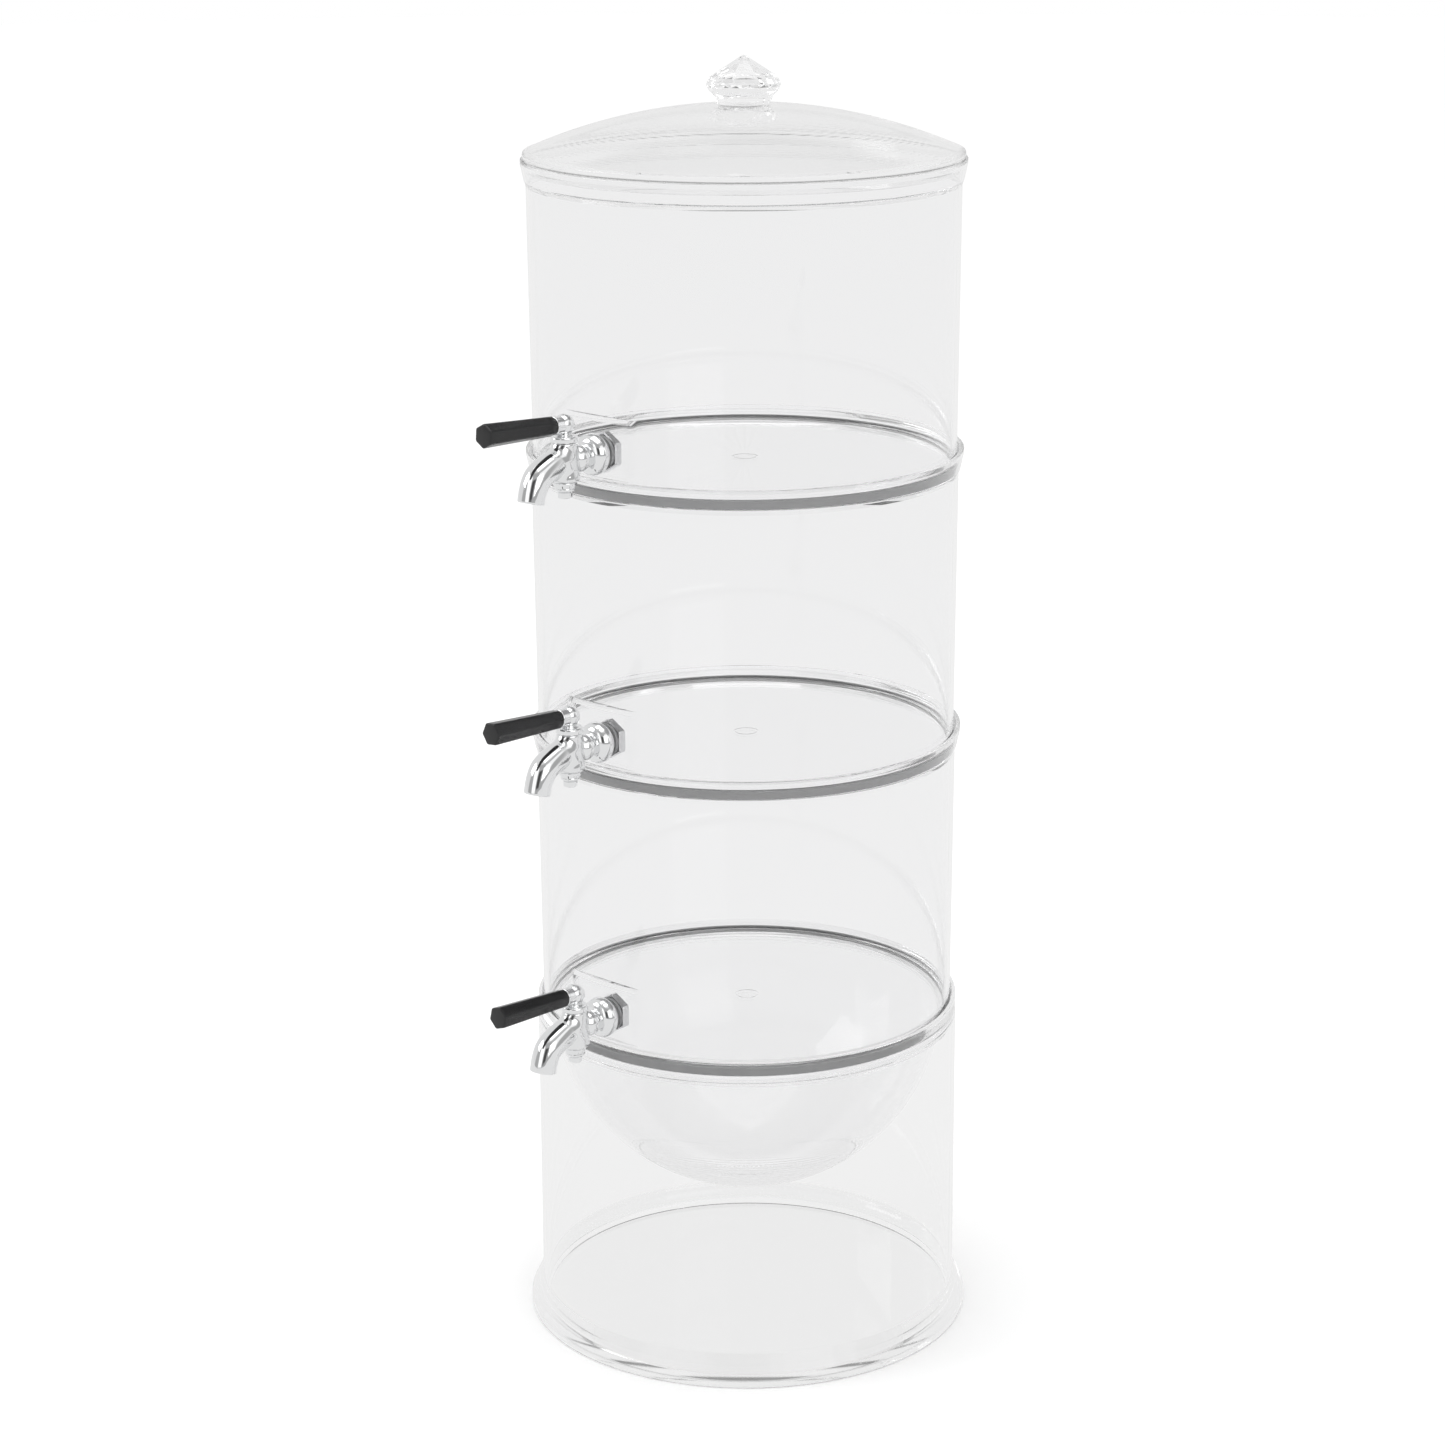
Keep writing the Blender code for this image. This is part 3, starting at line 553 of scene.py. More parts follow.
clear_acrylic = acrylic("clear_acrylic", (0.99, 0.99, 0.992), ACRYLIC_WAVES)
base_acrylic = acrylic("base_acrylic", (1.0, 1.0, 1.0), ACRYLIC_WAVES)
bowl_acrylic = acrylic("bowl_acrylic", (0.975, 0.975, 0.977), ACRYLIC_WAVES)
cut_acrylic = acrylic("cut_acrylic", (0.99, 0.99, 0.992), 0.0)
grey_silicone = silicone("grey_silicone", (0.5, 0.502, 0.506), 0.5)
# Painted light: this silicone is lighter than the gaskets' own tone, which lifts the shade that falls on them
# behind the rose
pale_silicone = silicone("pale_silicone", (0.85, 0.85, 0.86), 0.5)
polished_chrome = chrome("polished_chrome", (0.82, 0.825, 0.83), 0.05, 0.00001)
turned_steel = turned_metal("turned_steel", (0.8, 0.8, 0.81), 0.18)
plug_brass = turned_metal("plug_brass", (0.75, 0.6, 0.33), 0.3)
black_plastic = grip_plastic("black_plastic", (0.005, 0.005, 0.0055), 0.22)


# Clear stack


def wall_radius(height):
    """The tank wall's outer radius at a height above its underside."""
    return TANK_RADIUS + TANK_DRAFT * height / tank_seat


def tank_skin():
    """A turned wall whose rows near the tap are held to y = minus the pad's distance, which makes the flat
    pad. The floor has the mould's faint ring mark, a groove whose depth follows one wave of a cosine."""
    floor_inner = wall_radius(TANK_FLOOR) - TANK_WALL
    tap_height = taps["lower"][2] - levels["lower"]
    pad_top, pad_bottom = tap_height + PAD_ABOVE_TAP, tap_height - PAD_BELOW_TAP
    back_top = pad_top + TANK_WALL
    seat_inner = TANK_RADIUS + TANK_DRAFT - TANK_WALL
    flare_start = tank_seat - COLLAR_FLARE
    across = np.linspace(-1, 1, MOULD_MARK_POINTS)
    dip = MOULD_MARK_DEPTH * (1 + np.cos(math.pi * across)) / 2
    mark = np.stack([MOULD_MARK_RADIUS + MOULD_MARK_WIDTH * across, TANK_FLOOR - dip], 1)

    def inner(height):
        return (wall_radius(height) - TANK_WALL, height)

    def outer(height):
        return (wall_radius(height), height)

    stretches = [
        (outline((0, TANK_FLOOR), mark), NO_CLIP),
        (arc(floor_inner - FLOOR_FILLET, TANK_FLOOR + FLOOR_FILLET, FLOOR_FILLET, -90, 0, 12), NO_CLIP),
        (outline(inner(TANK_FLOOR + FLOOR_FILLET + GAP)), NO_CLIP),
        (outline(inner(TANK_FLOOR + FLOOR_FILLET + GAP), inner(back_top)), pad_back),
        (outline(inner(back_top)), NO_CLIP),
        (arc(seat_inner + RIM_ROUND, tank_seat - RIM_ROUND, RIM_ROUND, 180, 90, 4), NO_CLIP),
        (arc(mouth_bottom - RIM_ROUND, tank_seat + RIM_ROUND, RIM_ROUND, -90, 0, 4), NO_CLIP),
        (arc(mouth_top + RIM_ROUND, tank_height - RIM_ROUND, RIM_ROUND, 180, 90, 5), NO_CLIP),
        (arc(collar_radius - RIM_ROUND, tank_height - RIM_ROUND, RIM_ROUND, 90, 0, 5), NO_CLIP),
        (outline((collar_radius, tank_height - COLLAR_LIP)), NO_CLIP),
        (outline((mouth_bottom + collar_radius - mouth_top, tank_seat), outer(flare_start)), NO_CLIP),
        (outline(outer(pad_top)), NO_CLIP),
        (outline(outer(pad_top), outer(pad_bottom)), pad_face),
        (outline(outer(pad_bottom), (TANK_RADIUS, FOOT_HEIGHT + FOOT_SLANT)), NO_CLIP),
        (outline((foot_radius, FOOT_HEIGHT)), NO_CLIP),
        (arc(foot_radius - RIM_ROUND, RIM_ROUND, RIM_ROUND, 0, -90, 5), NO_CLIP),
        (outline((0, 0)), NO_CLIP),
    ]
    rows = steadied(np.vstack([np.insert(points, 2, clip, axis=1) for points, clip in stretches]))
    grid, clips = turn_grid(rows[:, :2]), rows[:, 2]
    grid[:, :, 1] = np.maximum(grid[:, :, 1], -clips[:, None])
    return grid, grid_faces(*grid.shape[:2])


def drill(piece, centre, reach, radius):
    """Cuts a round hole along Y, as far as the reach on both sides, and keeps the cut mesh."""
    profile = outline((0, reach), (radius, reach), (radius, -reach), (0, -reach))
    grid, faces = turned_skin(profile, SMALL_ROUND_SIDES)
    grid = grid[:, :, [0, 2, 1]] * (1, -1, 1) + np.array(centre)
    cutter = make_piece("hole_cutter", [(grid, faces)])
    cut = piece.modifiers.new("hole", "BOOLEAN")
    cut.operation = "DIFFERENCE"
    cut.solver = "EXACT"
    cut.object = cutter
    evaluated = piece.evaluated_get(bpy.context.evaluated_depsgraph_get())
    mesh = bpy.data.meshes.new_from_object(evaluated)
    piece.modifiers.clear()
    piece.data = mesh
    shade(mesh)
    bpy.data.objects.remove(cutter)


def make_tanks():
    """One drilled tank mesh, copied to each tier's level."""
    first = make_piece("tank_pattern", [tank_skin()])
    tap_height = taps["lower"][2] - levels["lower"]
    drill(first, (0, -(pad_face + pad_back) / 2, tap_height), TANK_WALL, SHANK_HOLE)
    for tier in TIERS:
        mesh = first.data.copy()
        points = np.empty(len(mesh.vertices) * 3, np.float32)
        mesh.vertices.foreach_get("co", points)
        points = points.reshape(-1, 3) + np.array([0, 0, levels[tier]], np.float32)
        mesh.vertices.foreach_set("co", points.ravel())
        tank = placed(tier + "_clear_tank", mesh)
        dress(tank, clear_acrylic, tier + "_tank_body", "clear_acrylic", tier + "_tank")
    bpy.data.objects.remove(first)


def make_seals():
    """A ring round each tank's foot, with a thin lip under it; its outside follows the mouth's slope."""
    bottom = -SEAL_FOOT - GAP
    top = bottom + SEAL_HEIGHT
    top_outer = seal_outer + mouth_slope * SEAL_HEIGHT
    profile = outline(
        arc(seal_inner + SEAL_ROUND, top - SEAL_ROUND, SEAL_ROUND, 180, 90, 3),
        arc(top_outer - SEAL_ROUND, top - SEAL_ROUND, SEAL_ROUND, 90, 0, 3),
        arc(seal_outer - SEAL_ROUND, bottom + SEAL_ROUND, SEAL_ROUND, 0, -90, 3),
        (foot_radius - SEAL_FOOT_WIDTH, bottom),
        (foot_radius - SEAL_FOOT_WIDTH, -GAP),
        (seal_inner, -GAP),
    )
    for tier in TIERS:
        ring = make_piece(tier + "_grey_ring", [raised(turned_skin(profile), levels[tier])])
        dress(ring, grey_silicone, tier + "_tank_body", "grey_silicone", tier + "_seal_ring")


def make_base():
    """The base: a turned cup with a flat closed floor, whose wall flares out to a rounded foot."""
    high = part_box("base")[1]
    flange, height = high.x, high.z
    profile = outline(
        (0, BASE_FLOOR),
        arc(base_inner - BASE_FILLET, BASE_FLOOR + BASE_FILLET, BASE_FILLET, -90, 0, 6),
        arc(base_inner + RIM_ROUND, height - RIM_ROUND, RIM_ROUND, 180, 90, 4),
        arc(base_outer - RIM_ROUND, height - RIM_ROUND, RIM_ROUND, 90, 0, 4),
        (base_outer, FLARE_HEIGHT),
        arc(flange - FLANGE_ROUND, FLANGE_HEIGHT, FLANGE_ROUND, FLARE_SLOPE, 0, 6),
        arc(flange - 2 * RIM_ROUND, 2 * RIM_ROUND, 2 * RIM_ROUND, 0, -90, 6),
        (0, 0),
    )
    base = make_piece("clear_base", [turned_skin(profile)])
    dress(base, base_acrylic, "base_body", "clear_acrylic", "base")


def make_bowl():
    """The ice bowl: a hanging part sphere, a seat on the base's wall, and a rim round the lower tank's
    foot."""
    seat = levels["lower"] - seat_drop
    outer = base_inner - BOWL_MARGIN
    inner = outer - BOWL_WALL
    inner_start = -math.degrees(math.asin(BOWL_CENTRE_RISE / inner))
    outer_start = -math.degrees(math.asin((BOWL_CENTRE_RISE + BOWL_SEAT) / outer))
    rim_top = seat_drop + BOWL_NEST_DEPTH
    rim_inner = mouth_bottom + mouth_slope * rim_top
    rim_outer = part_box("ice_bowl")[1].x
    rib = base_inner - SLIP
    profile = outline(
        (0, BOWL_CENTRE_RISE - inner),
        arc(0, BOWL_CENTRE_RISE, inner, -BOWL_POLE, inner_start, 60),
        arc(mouth_bottom - RIM_ROUND, RIM_ROUND, RIM_ROUND, -90, 0, 4),
        arc(rim_inner + RIM_ROUND, rim_top - RIM_ROUND, RIM_ROUND, 180, 90, 4),
        arc(rim_outer - RIM_ROUND, rim_top - RIM_ROUND, RIM_ROUND, 90, 0, 4),
        (rim_outer, -BOWL_SEAT),
        (rib, -BOWL_SEAT),
        (rib, -BOWL_SEAT - BOWL_RIB_DEPTH),
        (rib - BOWL_RIB_WIDTH, -BOWL_SEAT - BOWL_RIB_DEPTH),
        (rib - BOWL_RIB_WIDTH, -BOWL_SEAT),
        arc(0, BOWL_CENTRE_RISE, outer, outer_start, -BOWL_POLE, 60),
        (0, BOWL_CENTRE_RISE - outer),
    )
    bowl = make_piece("clear_ice_bowl", [raised(turned_skin(profile), seat)])
    dress(bowl, bowl_acrylic, "bowl_body", "clear_acrylic", "ice_bowl")


def dome(radius, rise, top):
    """A shallow dome from its middle out to a radius: an arc that drops by the rise."""
    size = (radius**2 + rise**2) / (2 * rise)
    edge = math.degrees(math.asin(radius / size))
    return arc(0, top - size, size, 90, 90 - edge, DOME_STEPS)


def make_lid():
    """The lid: a dome over a rounded rim, with a skirt that drops into the mouth, and the knob's hole."""
    low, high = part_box("lid")
    radius = high.x
    level = low.z + LID_SKIRT_DEPTH
    top = high.z - level
    dome_radius = radius - LID_LEDGE
    rise = top - LID_EDGE - LID_SHOULDER
    skirt_top = mouth_top - SLIP
    skirt = skirt_top - mouth_slope * (LID_SKIRT_DEPTH + GAP)
    under_radius = skirt - LID_SKIRT_WALL
    hole = KNOB_PEG + GAP
    profile = outline(
        (hole, top - LID_WALL),
        (hole, top),
        dome(dome_radius, rise, top)[DOME_SKIP:],
        arc(radius - LID_SHOULDER, LID_EDGE - LID_SHOULDER, LID_SHOULDER, 75, 0, 7),
        arc(radius - RIM_ROUND, RIM_ROUND, RIM_ROUND, 0, -90, 4),
        (skirt_top, 0),
        arc(skirt - RIM_ROUND, -LID_SKIRT_DEPTH + RIM_ROUND, RIM_ROUND, 0, -90, 4),
        arc(under_radius + RIM_ROUND, -LID_SKIRT_DEPTH + RIM_ROUND, RIM_ROUND, -90, -180, 4),
        dome(under_radius, rise, top - LID_WALL)[DOME_SKIP:][::-1],
    )
    lid = make_piece("clear_lid", [raised(turned_skin(profile), level)])
    # Painted shade along the rim's lower edge, which draws the rim's dark line
    edge = (level, level + RIM_ROUND)
    lid_acrylic_painted_rim_shade = acrylic("lid_acrylic_painted_rim_shade", (0.985, 0.985, 0.987), ACRYLIC_WAVES, edge)
    dress(lid, lid_acrylic_painted_rim_shade, "lid_body", "clear_acrylic", "lid")


def make_knob():
    """The cut knob: rings of corners, each a radius times the cosine and the sine of an angle. Every second
    ring at the girdle is turned half a facet, which makes diamond facets."""
    low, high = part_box("lid_knob")
    foot = low.z + LID_WALL + GAP
    shares = np.array(KNOB_RINGS)[:, :, None]
    angles = 2 * math.pi * (np.arange(KNOB_FACETS) + shares[:, 2]) / KNOB_FACETS
    radius = high.x * shares[:, 0]
    height = np.broadcast_to((high.z - foot) * shares[:, 1], angles.shape)
    grid = np.stack([radius * np.cos(angles), radius * np.sin(angles), height], 2)
    depth = LID_WALL + GAP
    peg = turn_grid(outline((KNOB_PEG, 0), (KNOB_PEG, -depth), (0, -depth)), KNOB_FACETS)
    grid = np.concatenate([grid, peg])
    knob = make_piece("cut_knob", [raised((grid, grid_faces(*grid.shape[:2])), foot)])
    dress(knob, cut_acrylic, "lid_body", "cut_acrylic", "lid_knob")


# Taps: worked out in the tap's own frame, +X out along the shank from the pad's face, +Z up


def at_tap(points, tier, reach=0.0):
    """From the tap's frame to its place on a tier: its +X becomes -Y."""
    points = np.asarray(points, float)
    x, y, z = points[..., 0] + reach, points[..., 1], points[..., 2]
    return np.stack([y, -x, z], -1) + taps[tier]


def lay_along(grid):
    """Turns points made round Z so that their +Z is the tap's +X."""
    return np.stack([grid[..., 2], grid[..., 1], -grid[..., 0]], -1)


def blend_low(a, b, width):
    """The smaller of two distances, with the crease between them filled over a width."""
    share = np.clip(0.5 + 0.5 * (b - a) / width, 0, 1)
    return b + (a - b) * share - width * share * (1 - share)


def blend_high(a, b, width):
    """The larger of two distances, with the edge between them rounded over a width."""
    return -blend_low(-a, -b, width)


def spout_line():
    """The spout's centre line on one smooth curve through its shares, and its radius at each point."""
    shares = np.array(SPOUT_PATH_SHARES)
    reach = BARREL_REACH + SPOUT_REACH * shares[:, 0]
    height = SPOUT_RISE - SPOUT_DROP * shares[:, 1]
    knots = np.stack([reach, height * 0, height, SPOUT_RADIUS * shares[:, 2]], 1)
    line = catmull(knots, SPOUT_STEPS)[SPOUT_SKIP:]
    return line[:, :3], line[:, 3]


def along_line(points, line, radii):
    """Distance to a tube round a line, whose radius goes evenly from each point of the line to the next."""
    best = np.full(len(points), 1.0)
    for start, end, start_radius, end_radius in zip(line, line[1:], radii, radii[1:]):
        step = end - start
        share = np.clip(((points - start) @ step) / (step @ step), 0, 1)
        radius = start_radius + (end_radius - start_radius) * share
        gap = np.linalg.norm(points - start - share[:, None] * step, axis=1) - radius
        best = np.minimum(best, gap)
    return best


def cast_distance(points):
    """About how far points lie outside the cast tap: rose, bulb, barrel and spout blended, then the bores
    cut."""
    x, y, z = points.T
    from_shank = np.hypot(y, z)
    from_barrel = np.hypot(x - BARREL_REACH, y)
    line, radii = spout_line()
    side = from_barrel - np.interp(z, BARREL_HEIGHTS, BARREL_RADII)
    ends = np.abs(z - (BARREL_TOP - BARREL_BOTTOM) / 2) - (BARREL_TOP + BARREL_BOTTOM) / 2
    barrel = blend_high(side, ends, CAST_EDGE)
    spout = along_line(points, line, radii)
    outlet_way = (line[-1] - line[-2]) / np.linalg.norm(line[-1] - line[-2])
    past_outlet = (points - line[-1]) @ outlet_way
    spout = blend_high(spout, past_outlet, CAST_EDGE)
    bulb = np.linalg.norm(points - (BULB_REACH, 0, -BULB_DROP), axis=1) - BULB_RADIUS
    outward = np.maximum(from_shank - NECK_RADIUS, 0) / (ROSE_RADIUS - NECK_RADIUS)
    forward = np.maximum(x - ROSE_BACK - ROSE_EDGE, 0) / ROSE_DOME
    round_share = np.hypot(outward, forward)
    rose = (round_share - 1) * ROSE_DOME
    rose = blend_high(rose, ROSE_BACK - x, CAST_EDGE)
    body = blend_low(barrel, spout, CAST_BLEND)
    body = blend_low(body, bulb, CAST_BLEND / 2)
    body = blend_low(body, rose, CAST_EDGE)
    bore_line = np.vstack([line, line[-1] + outlet_way * SPOUT_BORE])
    spout_bore = along_line(points, bore_line, np.full(len(bore_line), SPOUT_BORE))
    plug_bore = from_barrel - PLUG_BORE
    shank_bore = np.maximum(from_shank - SHANK_BORE, x - BARREL_REACH)
    for bore in (spout_bore, plug_bore, shank_bore):
        body = blend_high(body, -bore, CAST_EDGE / 2)
    return body


def slope(distance, points, step):
    """The gradient of a distance at points, from differences over a small step."""
    shifts = np.eye(3) * step
    return np.stack([(distance(points + s) - distance(points - s)) / (2 * step) for s in shifts], 1)


def surface_net(distance, low, high, cell):
    """Skin of the solid where a distance is below zero. One point lies in each grid cell that the surface
    crosses, and one four-cornered face spans each grid edge whose ends lie on different sides. The points
    then move onto the surface along the gradient."""
    sizes = [int(math.ceil((b - a) / cell)) + 1 for a, b in zip(low, high)]
    axes = [a + cell * np.arange(n) for a, n in zip(low, sizes)]
    grid = np.stack(np.meshgrid(*axes, indexing="ij"), -1)
    inside = (distance(grid.reshape(-1, 3)) < 0).reshape(sizes)
    count = np.zeros([n - 1 for n in sizes], int)
    for i in (0, 1):
        for j in (0, 1):
            for k in (0, 1):
                count += inside[i : sizes[0] - 1 + i, j : sizes[1] - 1 + j, k : sizes[2] - 1 + k]
    crossed = (count > 0) & (count < 8)
    number = np.full(crossed.shape, -1)
    number[crossed] = np.arange(crossed.sum())
    points = grid[:-1, :-1, :-1][crossed] + cell / 2
    faces = []
    for axis in range(3):
        others = [a for a in range(3) if a != axis]
        here = np.moveaxis(inside, (axis, *others), (0, 1, 2))
        cells = np.moveaxis(number, (axis, *others), (0, 1, 2))
        first, last = here[:-1, 1:-1, 1:-1], here[1:, 1:-1, 1:-1]
        changed = np.argwhere(first != last)
        out = first[first != last]
        i, j, k = changed.T
        near, far = cells[i, j, k], cells[i, j + 1, k + 1]
        ring = np.stack([near, cells[i, j + 1, k], far, cells[i, j, k + 1]], 1)
        turn = out if axis != 1 else ~out
        ring[~turn] = ring[~turn][:, ::-1]
        faces.append(ring)
    faces = np.vstack(faces)
    for step in range(CAST_ROUNDS):
        if step < CAST_EVEN_ROUNDS:
            total = np.zeros_like(points)
            shared = np.zeros(len(points))
            for a in range(4):
                for b in (1, 3):
                    np.add.at(total, faces[:, a], points[faces[:, (a + b) % 4]])
                    np.add.at(shared, faces[:, a], 1)
            points = CAST_KEEP * points + (1 - CAST_KEEP) * total / shared[:, None]
        value = distance(points)
        way = slope(distance, points, cell / 20)
        move = way * (value / np.maximum((way**2).sum(1), CAST_LEAST_SLOPE))[:, None]
        points = points - np.clip(move, -cell, cell)
    return points, faces


def shank_skin(start, end):
    """The threaded shank as a tube: the outside is the radius less a helical ridge wave, round and along
    together."""
    rows = int((start - end) / (THREAD_PITCH / 8)) + 1
    along = np.linspace(start, end, rows)
    angles = np.linspace(0, 2 * math.pi, SMALL_ROUND_SIDES, endpoint=False)
    wave = np.abs(2 * ((along[:, None] / THREAD_PITCH + angles / (2 * math.pi)) % 1) - 1)
    fade = np.clip(np.minimum(start - along, along - end) / THREAD_PITCH, 0, 1)[:, None]
    radius = SHANK_RADIUS - THREAD_DEPTH * (1 - wave * fade)
    x, y = radius * np.cos(angles), radius * np.sin(angles)
    outside = np.stack([x, y, np.broadcast_to(along[:, None], radius.shape)], 2)
    inside = turn_grid(outline((SHANK_BORE, end), (SHANK_BORE, start)), SMALL_ROUND_SIDES)
    grid = np.concatenate([outside, inside])
    return lay_along(grid), grid_faces(*grid.shape[:2], wrap_rows=True)


def make_castings():
    """The cast body and its threaded shank, worked out once and placed on each tier."""
    bottom = SPOUT_RISE - SPOUT_DROP - SPOUT_RADIUS
    low = (ROSE_BACK - 3 * CAST_CELL, -ROSE_RADIUS - 3 * CAST_CELL, bottom)
    front = BARREL_REACH + SPOUT_REACH + SPOUT_END_ROOM * SPOUT_RADIUS
    high = (front, -low[1], ROSE_RADIUS + 4 * CAST_CELL)
    cast = surface_net(cast_distance, low, high, CAST_CELL)
    shank_end = TANK_WALL + INNER_GASKET_THICKNESS + 3 * GAP + NUT_THICKNESS + SHANK_PAST_NUT
    shank = shank_skin(ROSE_BACK + GAP, -shank_end)
    for tier in TIERS:
        skins = [(at_tap(points, tier), faces) for points, faces in (cast, shank)]
        body = make_piece(tier + "_chrome_tap", skins)
        body.data.set_sharp_from_angle(angle=CAST_SHARP)
        dress(body, polished_chrome, tier + "_tank_body", "polished_chrome", tier + "_tap_body")


def make_fittings():
    """The two gaskets and the cup washer of each tap."""
    gasket_top = GAP + GASKET_THICKNESS
    gasket = outline(
        (SHANK_HOLE, gasket_top),
        arc(GASKET_RADIUS - SEAL_ROUND, gasket_top - SEAL_ROUND, SEAL_ROUND, 90, 0, 3),
        arc(GASKET_RADIUS - SEAL_ROUND, GAP + SEAL_ROUND, SEAL_ROUND, 0, -90, 3),
        (SHANK_HOLE, GAP),
    )
    inner_top = -TANK_WALL - GAP
    inner_bottom = inner_top - INNER_GASKET_THICKNESS
    inner = outline(
        (SHANK_HOLE, inner_top),
        (INNER_GASKET_RADIUS, inner_top),
        (INNER_GASKET_RADIUS, inner_bottom),
        (SHANK_HOLE, inner_bottom),
    )
    top = -BARREL_BOTTOM - GAP
    cup = outline(
        (SCREW_RADIUS + GAP, top),
        arc(CUP_RADIUS - RIM_ROUND, top - RIM_ROUND, RIM_ROUND, 90, 0, 4),
        (CUP_RADIUS - RIM_ROUND / 2, top - CUP_LENGTH / 3),
        arc(CUP_RADIUS - 2 * CUP_TAPER, top - CUP_LENGTH + CUP_TAPER, CUP_TAPER, 20, -90, 8),
        (SCREW_RADIUS + GAP, top - CUP_LENGTH),
    )
    for tier in TIERS:
        for name, profile, material, slot, old in (
            # Painted light: the grey outer gasket takes the lightened pale silicone, which lifts its shade
            # between the rose and the pad
            ("_outer_gasket_ring", gasket, pale_silicone, "grey_silicone", "_outer_gasket"),
            ("_inner_gasket_ring", inner, pale_silicone, "pale_silicone", "_inner_gasket"),
        ):
            grid, faces = turned_skin(profile, SMALL_ROUND_SIDES)
            ring = make_piece(tier + name, [(at_tap(lay_along(grid), tier), faces)])
            dress(ring, material, tier + "_tank_body", slot, tier + old)
        grid, faces = turned_skin(cup, SMALL_ROUND_SIDES)
        piece = make_piece(tier + "_barrel_cup", [(at_tap(grid, tier, BARREL_REACH), faces)])
        dress(piece, polished_chrome, tier + "_lever_body", "polished_chrome", tier + "_cup_washer")


def tilted(grid):
    """From along +X to the lever's tilt, with the start at the ball's centre."""
    out, up = math.cos(LEVER_TILT), math.sin(LEVER_TILT)
    return grid @ np.array([[out, 0, up], [0, 1, 0], [-up, 0, out]]) + (0, 0, BALL_HEIGHT)


def make_levers():
    """The lever's head: a disc on the barrel, a waisted neck and a ball, turned about the barrel's axis, and
    the round ferrule that holds the grip."""
    bottom = BARREL_TOP + GAP
    disc_top = bottom + DISC_HEIGHT
    waist = BALL_HEIGHT - math.sqrt(BALL_RADIUS**2 - LEVER_NECK**2)
    middle = (LEVER_NECK - LEVER_WAIST_DIP, (waist + disc_top) / 2)
    neck = catmull([(LEVER_NECK, waist), middle, (LEVER_NECK + LEVER_NECK_FLARE, disc_top)], 5)
    ball_end = -math.degrees(math.acos(LEVER_NECK / BALL_RADIUS))
    profile = outline(
        (0, BALL_HEIGHT + BALL_RADIUS),
        arc(0, BALL_HEIGHT, BALL_RADIUS, BALL_POLE, ball_end, 30),
        neck[1:],
        arc(DISC_RADIUS - 2 * RIM_ROUND, disc_top - 2 * RIM_ROUND, 2 * RIM_ROUND, 90, 0, 6),
        arc(DISC_RADIUS - RIM_ROUND, bottom + RIM_ROUND, RIM_ROUND, 0, -90, 4),
        (0, bottom),
    )
    ferrule = outline(
        (0, FERRULE_END),
        arc(FERRULE_RADIUS - FERRULE_ROUND, FERRULE_END - FERRULE_ROUND, FERRULE_ROUND, 90, 0, 4),
        (FERRULE_RADIUS, BALL_RADIUS / 3),
        (0, BALL_RADIUS / 3),
    )
    head, head_faces = turned_skin(profile, SMALL_ROUND_SIDES)
    collar, collar_faces = turned_skin(ferrule, SMALL_ROUND_SIDES)
    for tier in TIERS:
        skins = [
            (at_tap(head, tier, BARREL_REACH), head_faces),
            (at_tap(tilted(lay_along(collar)), tier, BARREL_REACH), collar_faces),
        ]
        lever = make_piece(tier + "_lever_head", skins)
        dress(lever, polished_chrome, tier + "_lever_body", "polished_chrome", tier + "_tap_lever")


def make_grips():
    """The hexagonal grip: a hexagon with rounded corners, carried along its axis while it widens, rounded
    at its ends."""
    angles = np.linspace(0, 2 * math.pi, GRIP_SIDES, endpoint=False)
    start = FERRULE_END + GAP
    ends = np.linspace(0, math.pi / 2, 6)
    near = np.stack([1 - np.cos(ends), np.sin(ends)], 1)
    straight = np.linspace(0.1, 0.9, GRIP_ROWS) * GRIP_LENGTH
    near_end, far_end = GRIP_END_ROUND * near[:, 0], GRIP_LENGTH - GRIP_END_ROUND * near[::-1, 0]
    along = np.concatenate([[0], near_end, straight, far_end, [GRIP_LENGTH]])
    inset = np.concatenate([[1], 1 - near[:, 1], np.zeros(GRIP_ROWS), 1 - near[::-1, 1], [1]])
    radius = GRIP_NEAR_RADIUS + (GRIP_FAR_RADIUS - GRIP_NEAR_RADIUS) * along / GRIP_LENGTH
    for tier in TIERS:
        sector = (angles + GRIP_TURNS[tier] + math.pi / 6) % (math.pi / 3) - math.pi / 6
        flat = math.cos(math.pi / 6) / np.cos(sector)
        hexagon = np.minimum(flat, 1 - GRIP_CORNER_SHARE * GRIP_CORNER_CUT)
        hexagon = flat - blend_high(flat - hexagon, 0 * flat, GRIP_CORNER_SHARE)
        size = radius[:, None] * hexagon - GRIP_END_ROUND * inset[:, None]
        size[0] = size[-1] = 0
        reach = np.broadcast_to(along[:, None], size.shape)
        grid = np.stack([reach, size * np.sin(angles), size * np.cos(angles)], 2)
        grid = at_tap(tilted(grid + (start, 0, 0)), tier, BARREL_REACH)
        piece = make_piece(tier + "_black_grip", [(grid, grid_faces(*grid.shape[:2]))])
        piece.data.set_sharp_from_angle(angle=GRIP_SHARP)
        dress(piece, black_plastic, tier + "_lever_body", "black_plastic", tier + "_lever_grip")


def dress_frame_nodes():
    """The frame's own nodes that still show: the nuts, the plugs and their screws."""
    looks = {"_shank_nut": turned_steel, "_valve_plug": plug_brass, "_plug_screw": polished_chrome}
    for tier in TIERS:
        for name, material in looks.items():
            paint(frame["nodes"][tier + name], material)


# Studio


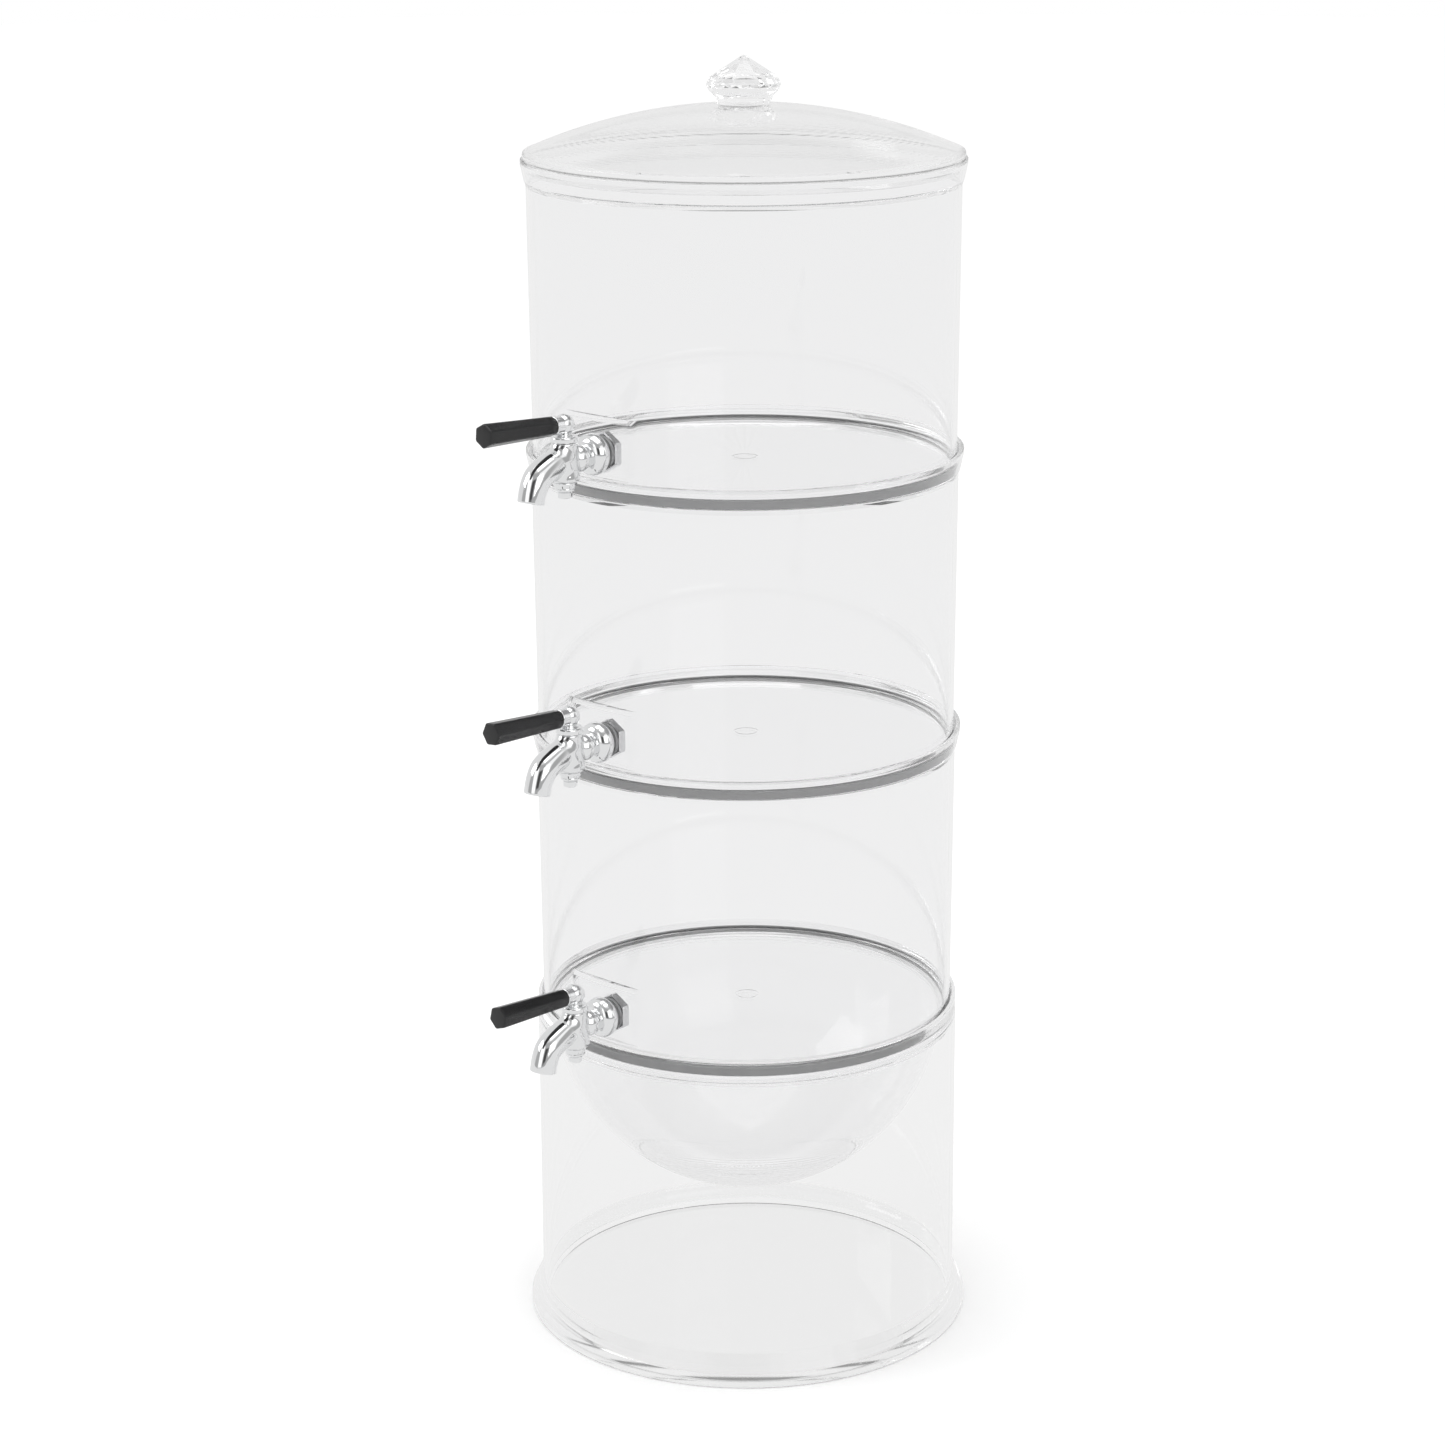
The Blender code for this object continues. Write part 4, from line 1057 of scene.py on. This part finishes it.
def make_floor():
    """A wide pale floor: white to the camera, and as pale as the surround through clear pieces and in
    metal."""
    grid = turn_grid(outline((0, 0), (FLOOR_RADIUS, 0)), SMALL_ROUND_SIDES)
    floor = make_piece("studio_floor", [(grid[::-1], grid_faces(*grid.shape[:2]))])
    material, shader, tree = new_material("floor_paper")
    camera = node(tree, "LightPath").outputs["Is Camera Ray"]
    tree.links.new(mix(tree, camera, *FLOOR_PAINT), shader.inputs["Base Color"])
    tree.links.new(mix(tree, camera, *FLOOR_GLOW), shader.inputs["Emission Strength"])
    shader.inputs["Emission Color"].default_value = (1, 1, 1, 1)
    shader.inputs["Roughness"].default_value = 0.9
    shader.inputs["Specular IOR Level"].default_value = 0.0
    paint(floor, material)
    floor.location.z = -FLOOR_DROP


def make_world():
    """The studio by direction: even and pale behind the part, bright panels and dark gaps on the taps' side.
    The camera's own rays see white, and diffuse surfaces are lit evenly. Clear pieces pass the pale tone,
    and a darker one from high up, which draws their rims."""
    world = bpy.data.worlds.new("studio")
    bpy.context.scene.world = world
    world.use_nodes = True
    tree = world.node_tree
    background = tree.nodes["Background"]
    way = node(tree, "TexCoord").outputs["Object"]
    front = node(tree, "VectorMath", {0: way, 1: STUDIO_FRONT}, operation="DOT_PRODUCT").outputs["Value"]
    side = node(tree, "VectorMath", {0: way, 1: STUDIO_SIDE}, operation="DOT_PRODUCT").outputs["Value"]
    up = node(tree, "SeparateXYZ", {"Vector": way}).outputs["Z"]
    level = node(tree, "Value").outputs[0]
    level.default_value = SURROUND_TONE
    measures = {"side": side, "up": up}
    near = window(tree, front, FRONT_START, PAST_ALL, FRONT_BLUR)
    for value, low, high, other, other_low, other_high, soft, tone in STUDIO_PANELS:
        mask = window(tree, measures[value], low, high, soft)
        mask = times(tree, mask, window(tree, measures[other], other_low, other_high, soft))
        level = mix(tree, times(tree, mask, near), level, tone)
    rays = node(tree, "LightPath").outputs
    passed = mix(tree, window(tree, up, RIM_RISE, PAST_ALL, RIM_BLUR), SURROUND_TONE, RIM_TONE)
    lit = mix(tree, rays["Is Transmission Ray"], level, passed)
    diffuse = mix(tree, rays["Is Diffuse Ray"], lit, DIFFUSE_TONE)
    shown = mix(tree, rays["Is Camera Ray"], diffuse, 1.0)
    tree.links.new(shown, background.inputs["Color"])
    background.inputs["Strength"].default_value = 1.0


def make_lamp(name, place, aim, size, power):
    """A square soft lamp, turned so that its -Z points at the aim."""
    data = bpy.data.lights.new(name, "AREA")
    data.shape = "SQUARE"
    data.size = size
    data.energy = power
    lamp = placed(name, data)
    lamp.location = place
    x, y, z = np.array(aim, float) - np.array(place, float)
    lamp.rotation_euler = (math.atan2(math.hypot(x, y), -z), 0, math.atan2(-x, y))


def make_camera():
    """The photograph's camera: to the right of the taps, above the stack's middle, looking down at it."""
    data = bpy.data.cameras.new("photo_camera")
    data.lens = CAMERA_LENS
    data.sensor_width = CAMERA_FILM
    data.shift_x = CAMERA_SHIFT
    camera = placed("photo_camera", data)
    camera.location = (
        CAMERA_DISTANCE * math.sin(CAMERA_TURN),
        -CAMERA_DISTANCE * math.cos(CAMERA_TURN),
        CAMERA_HEIGHT,
    )
    camera.rotation_mode = "XYZ"
    camera.rotation_euler = (math.pi / 2 - CAMERA_PITCH, CAMERA_ROLL, CAMERA_TURN)
    bpy.context.scene.camera = camera


make_tanks()
make_seals()
make_base()
make_bowl()
make_lid()
make_knob()
make_castings()
make_fittings()
make_levers()
make_grips()
dress_frame_nodes()
make_floor()
make_world()
for lamp in LAMPS:
    make_lamp(*lamp)
make_camera()
bpy.context.scene.view_settings.view_transform = "Standard"
for kind in ("max", "glossy", "transmission"):
    setattr(bpy.context.scene.cycles, kind + "_bounces", LIGHT_BOUNCES)
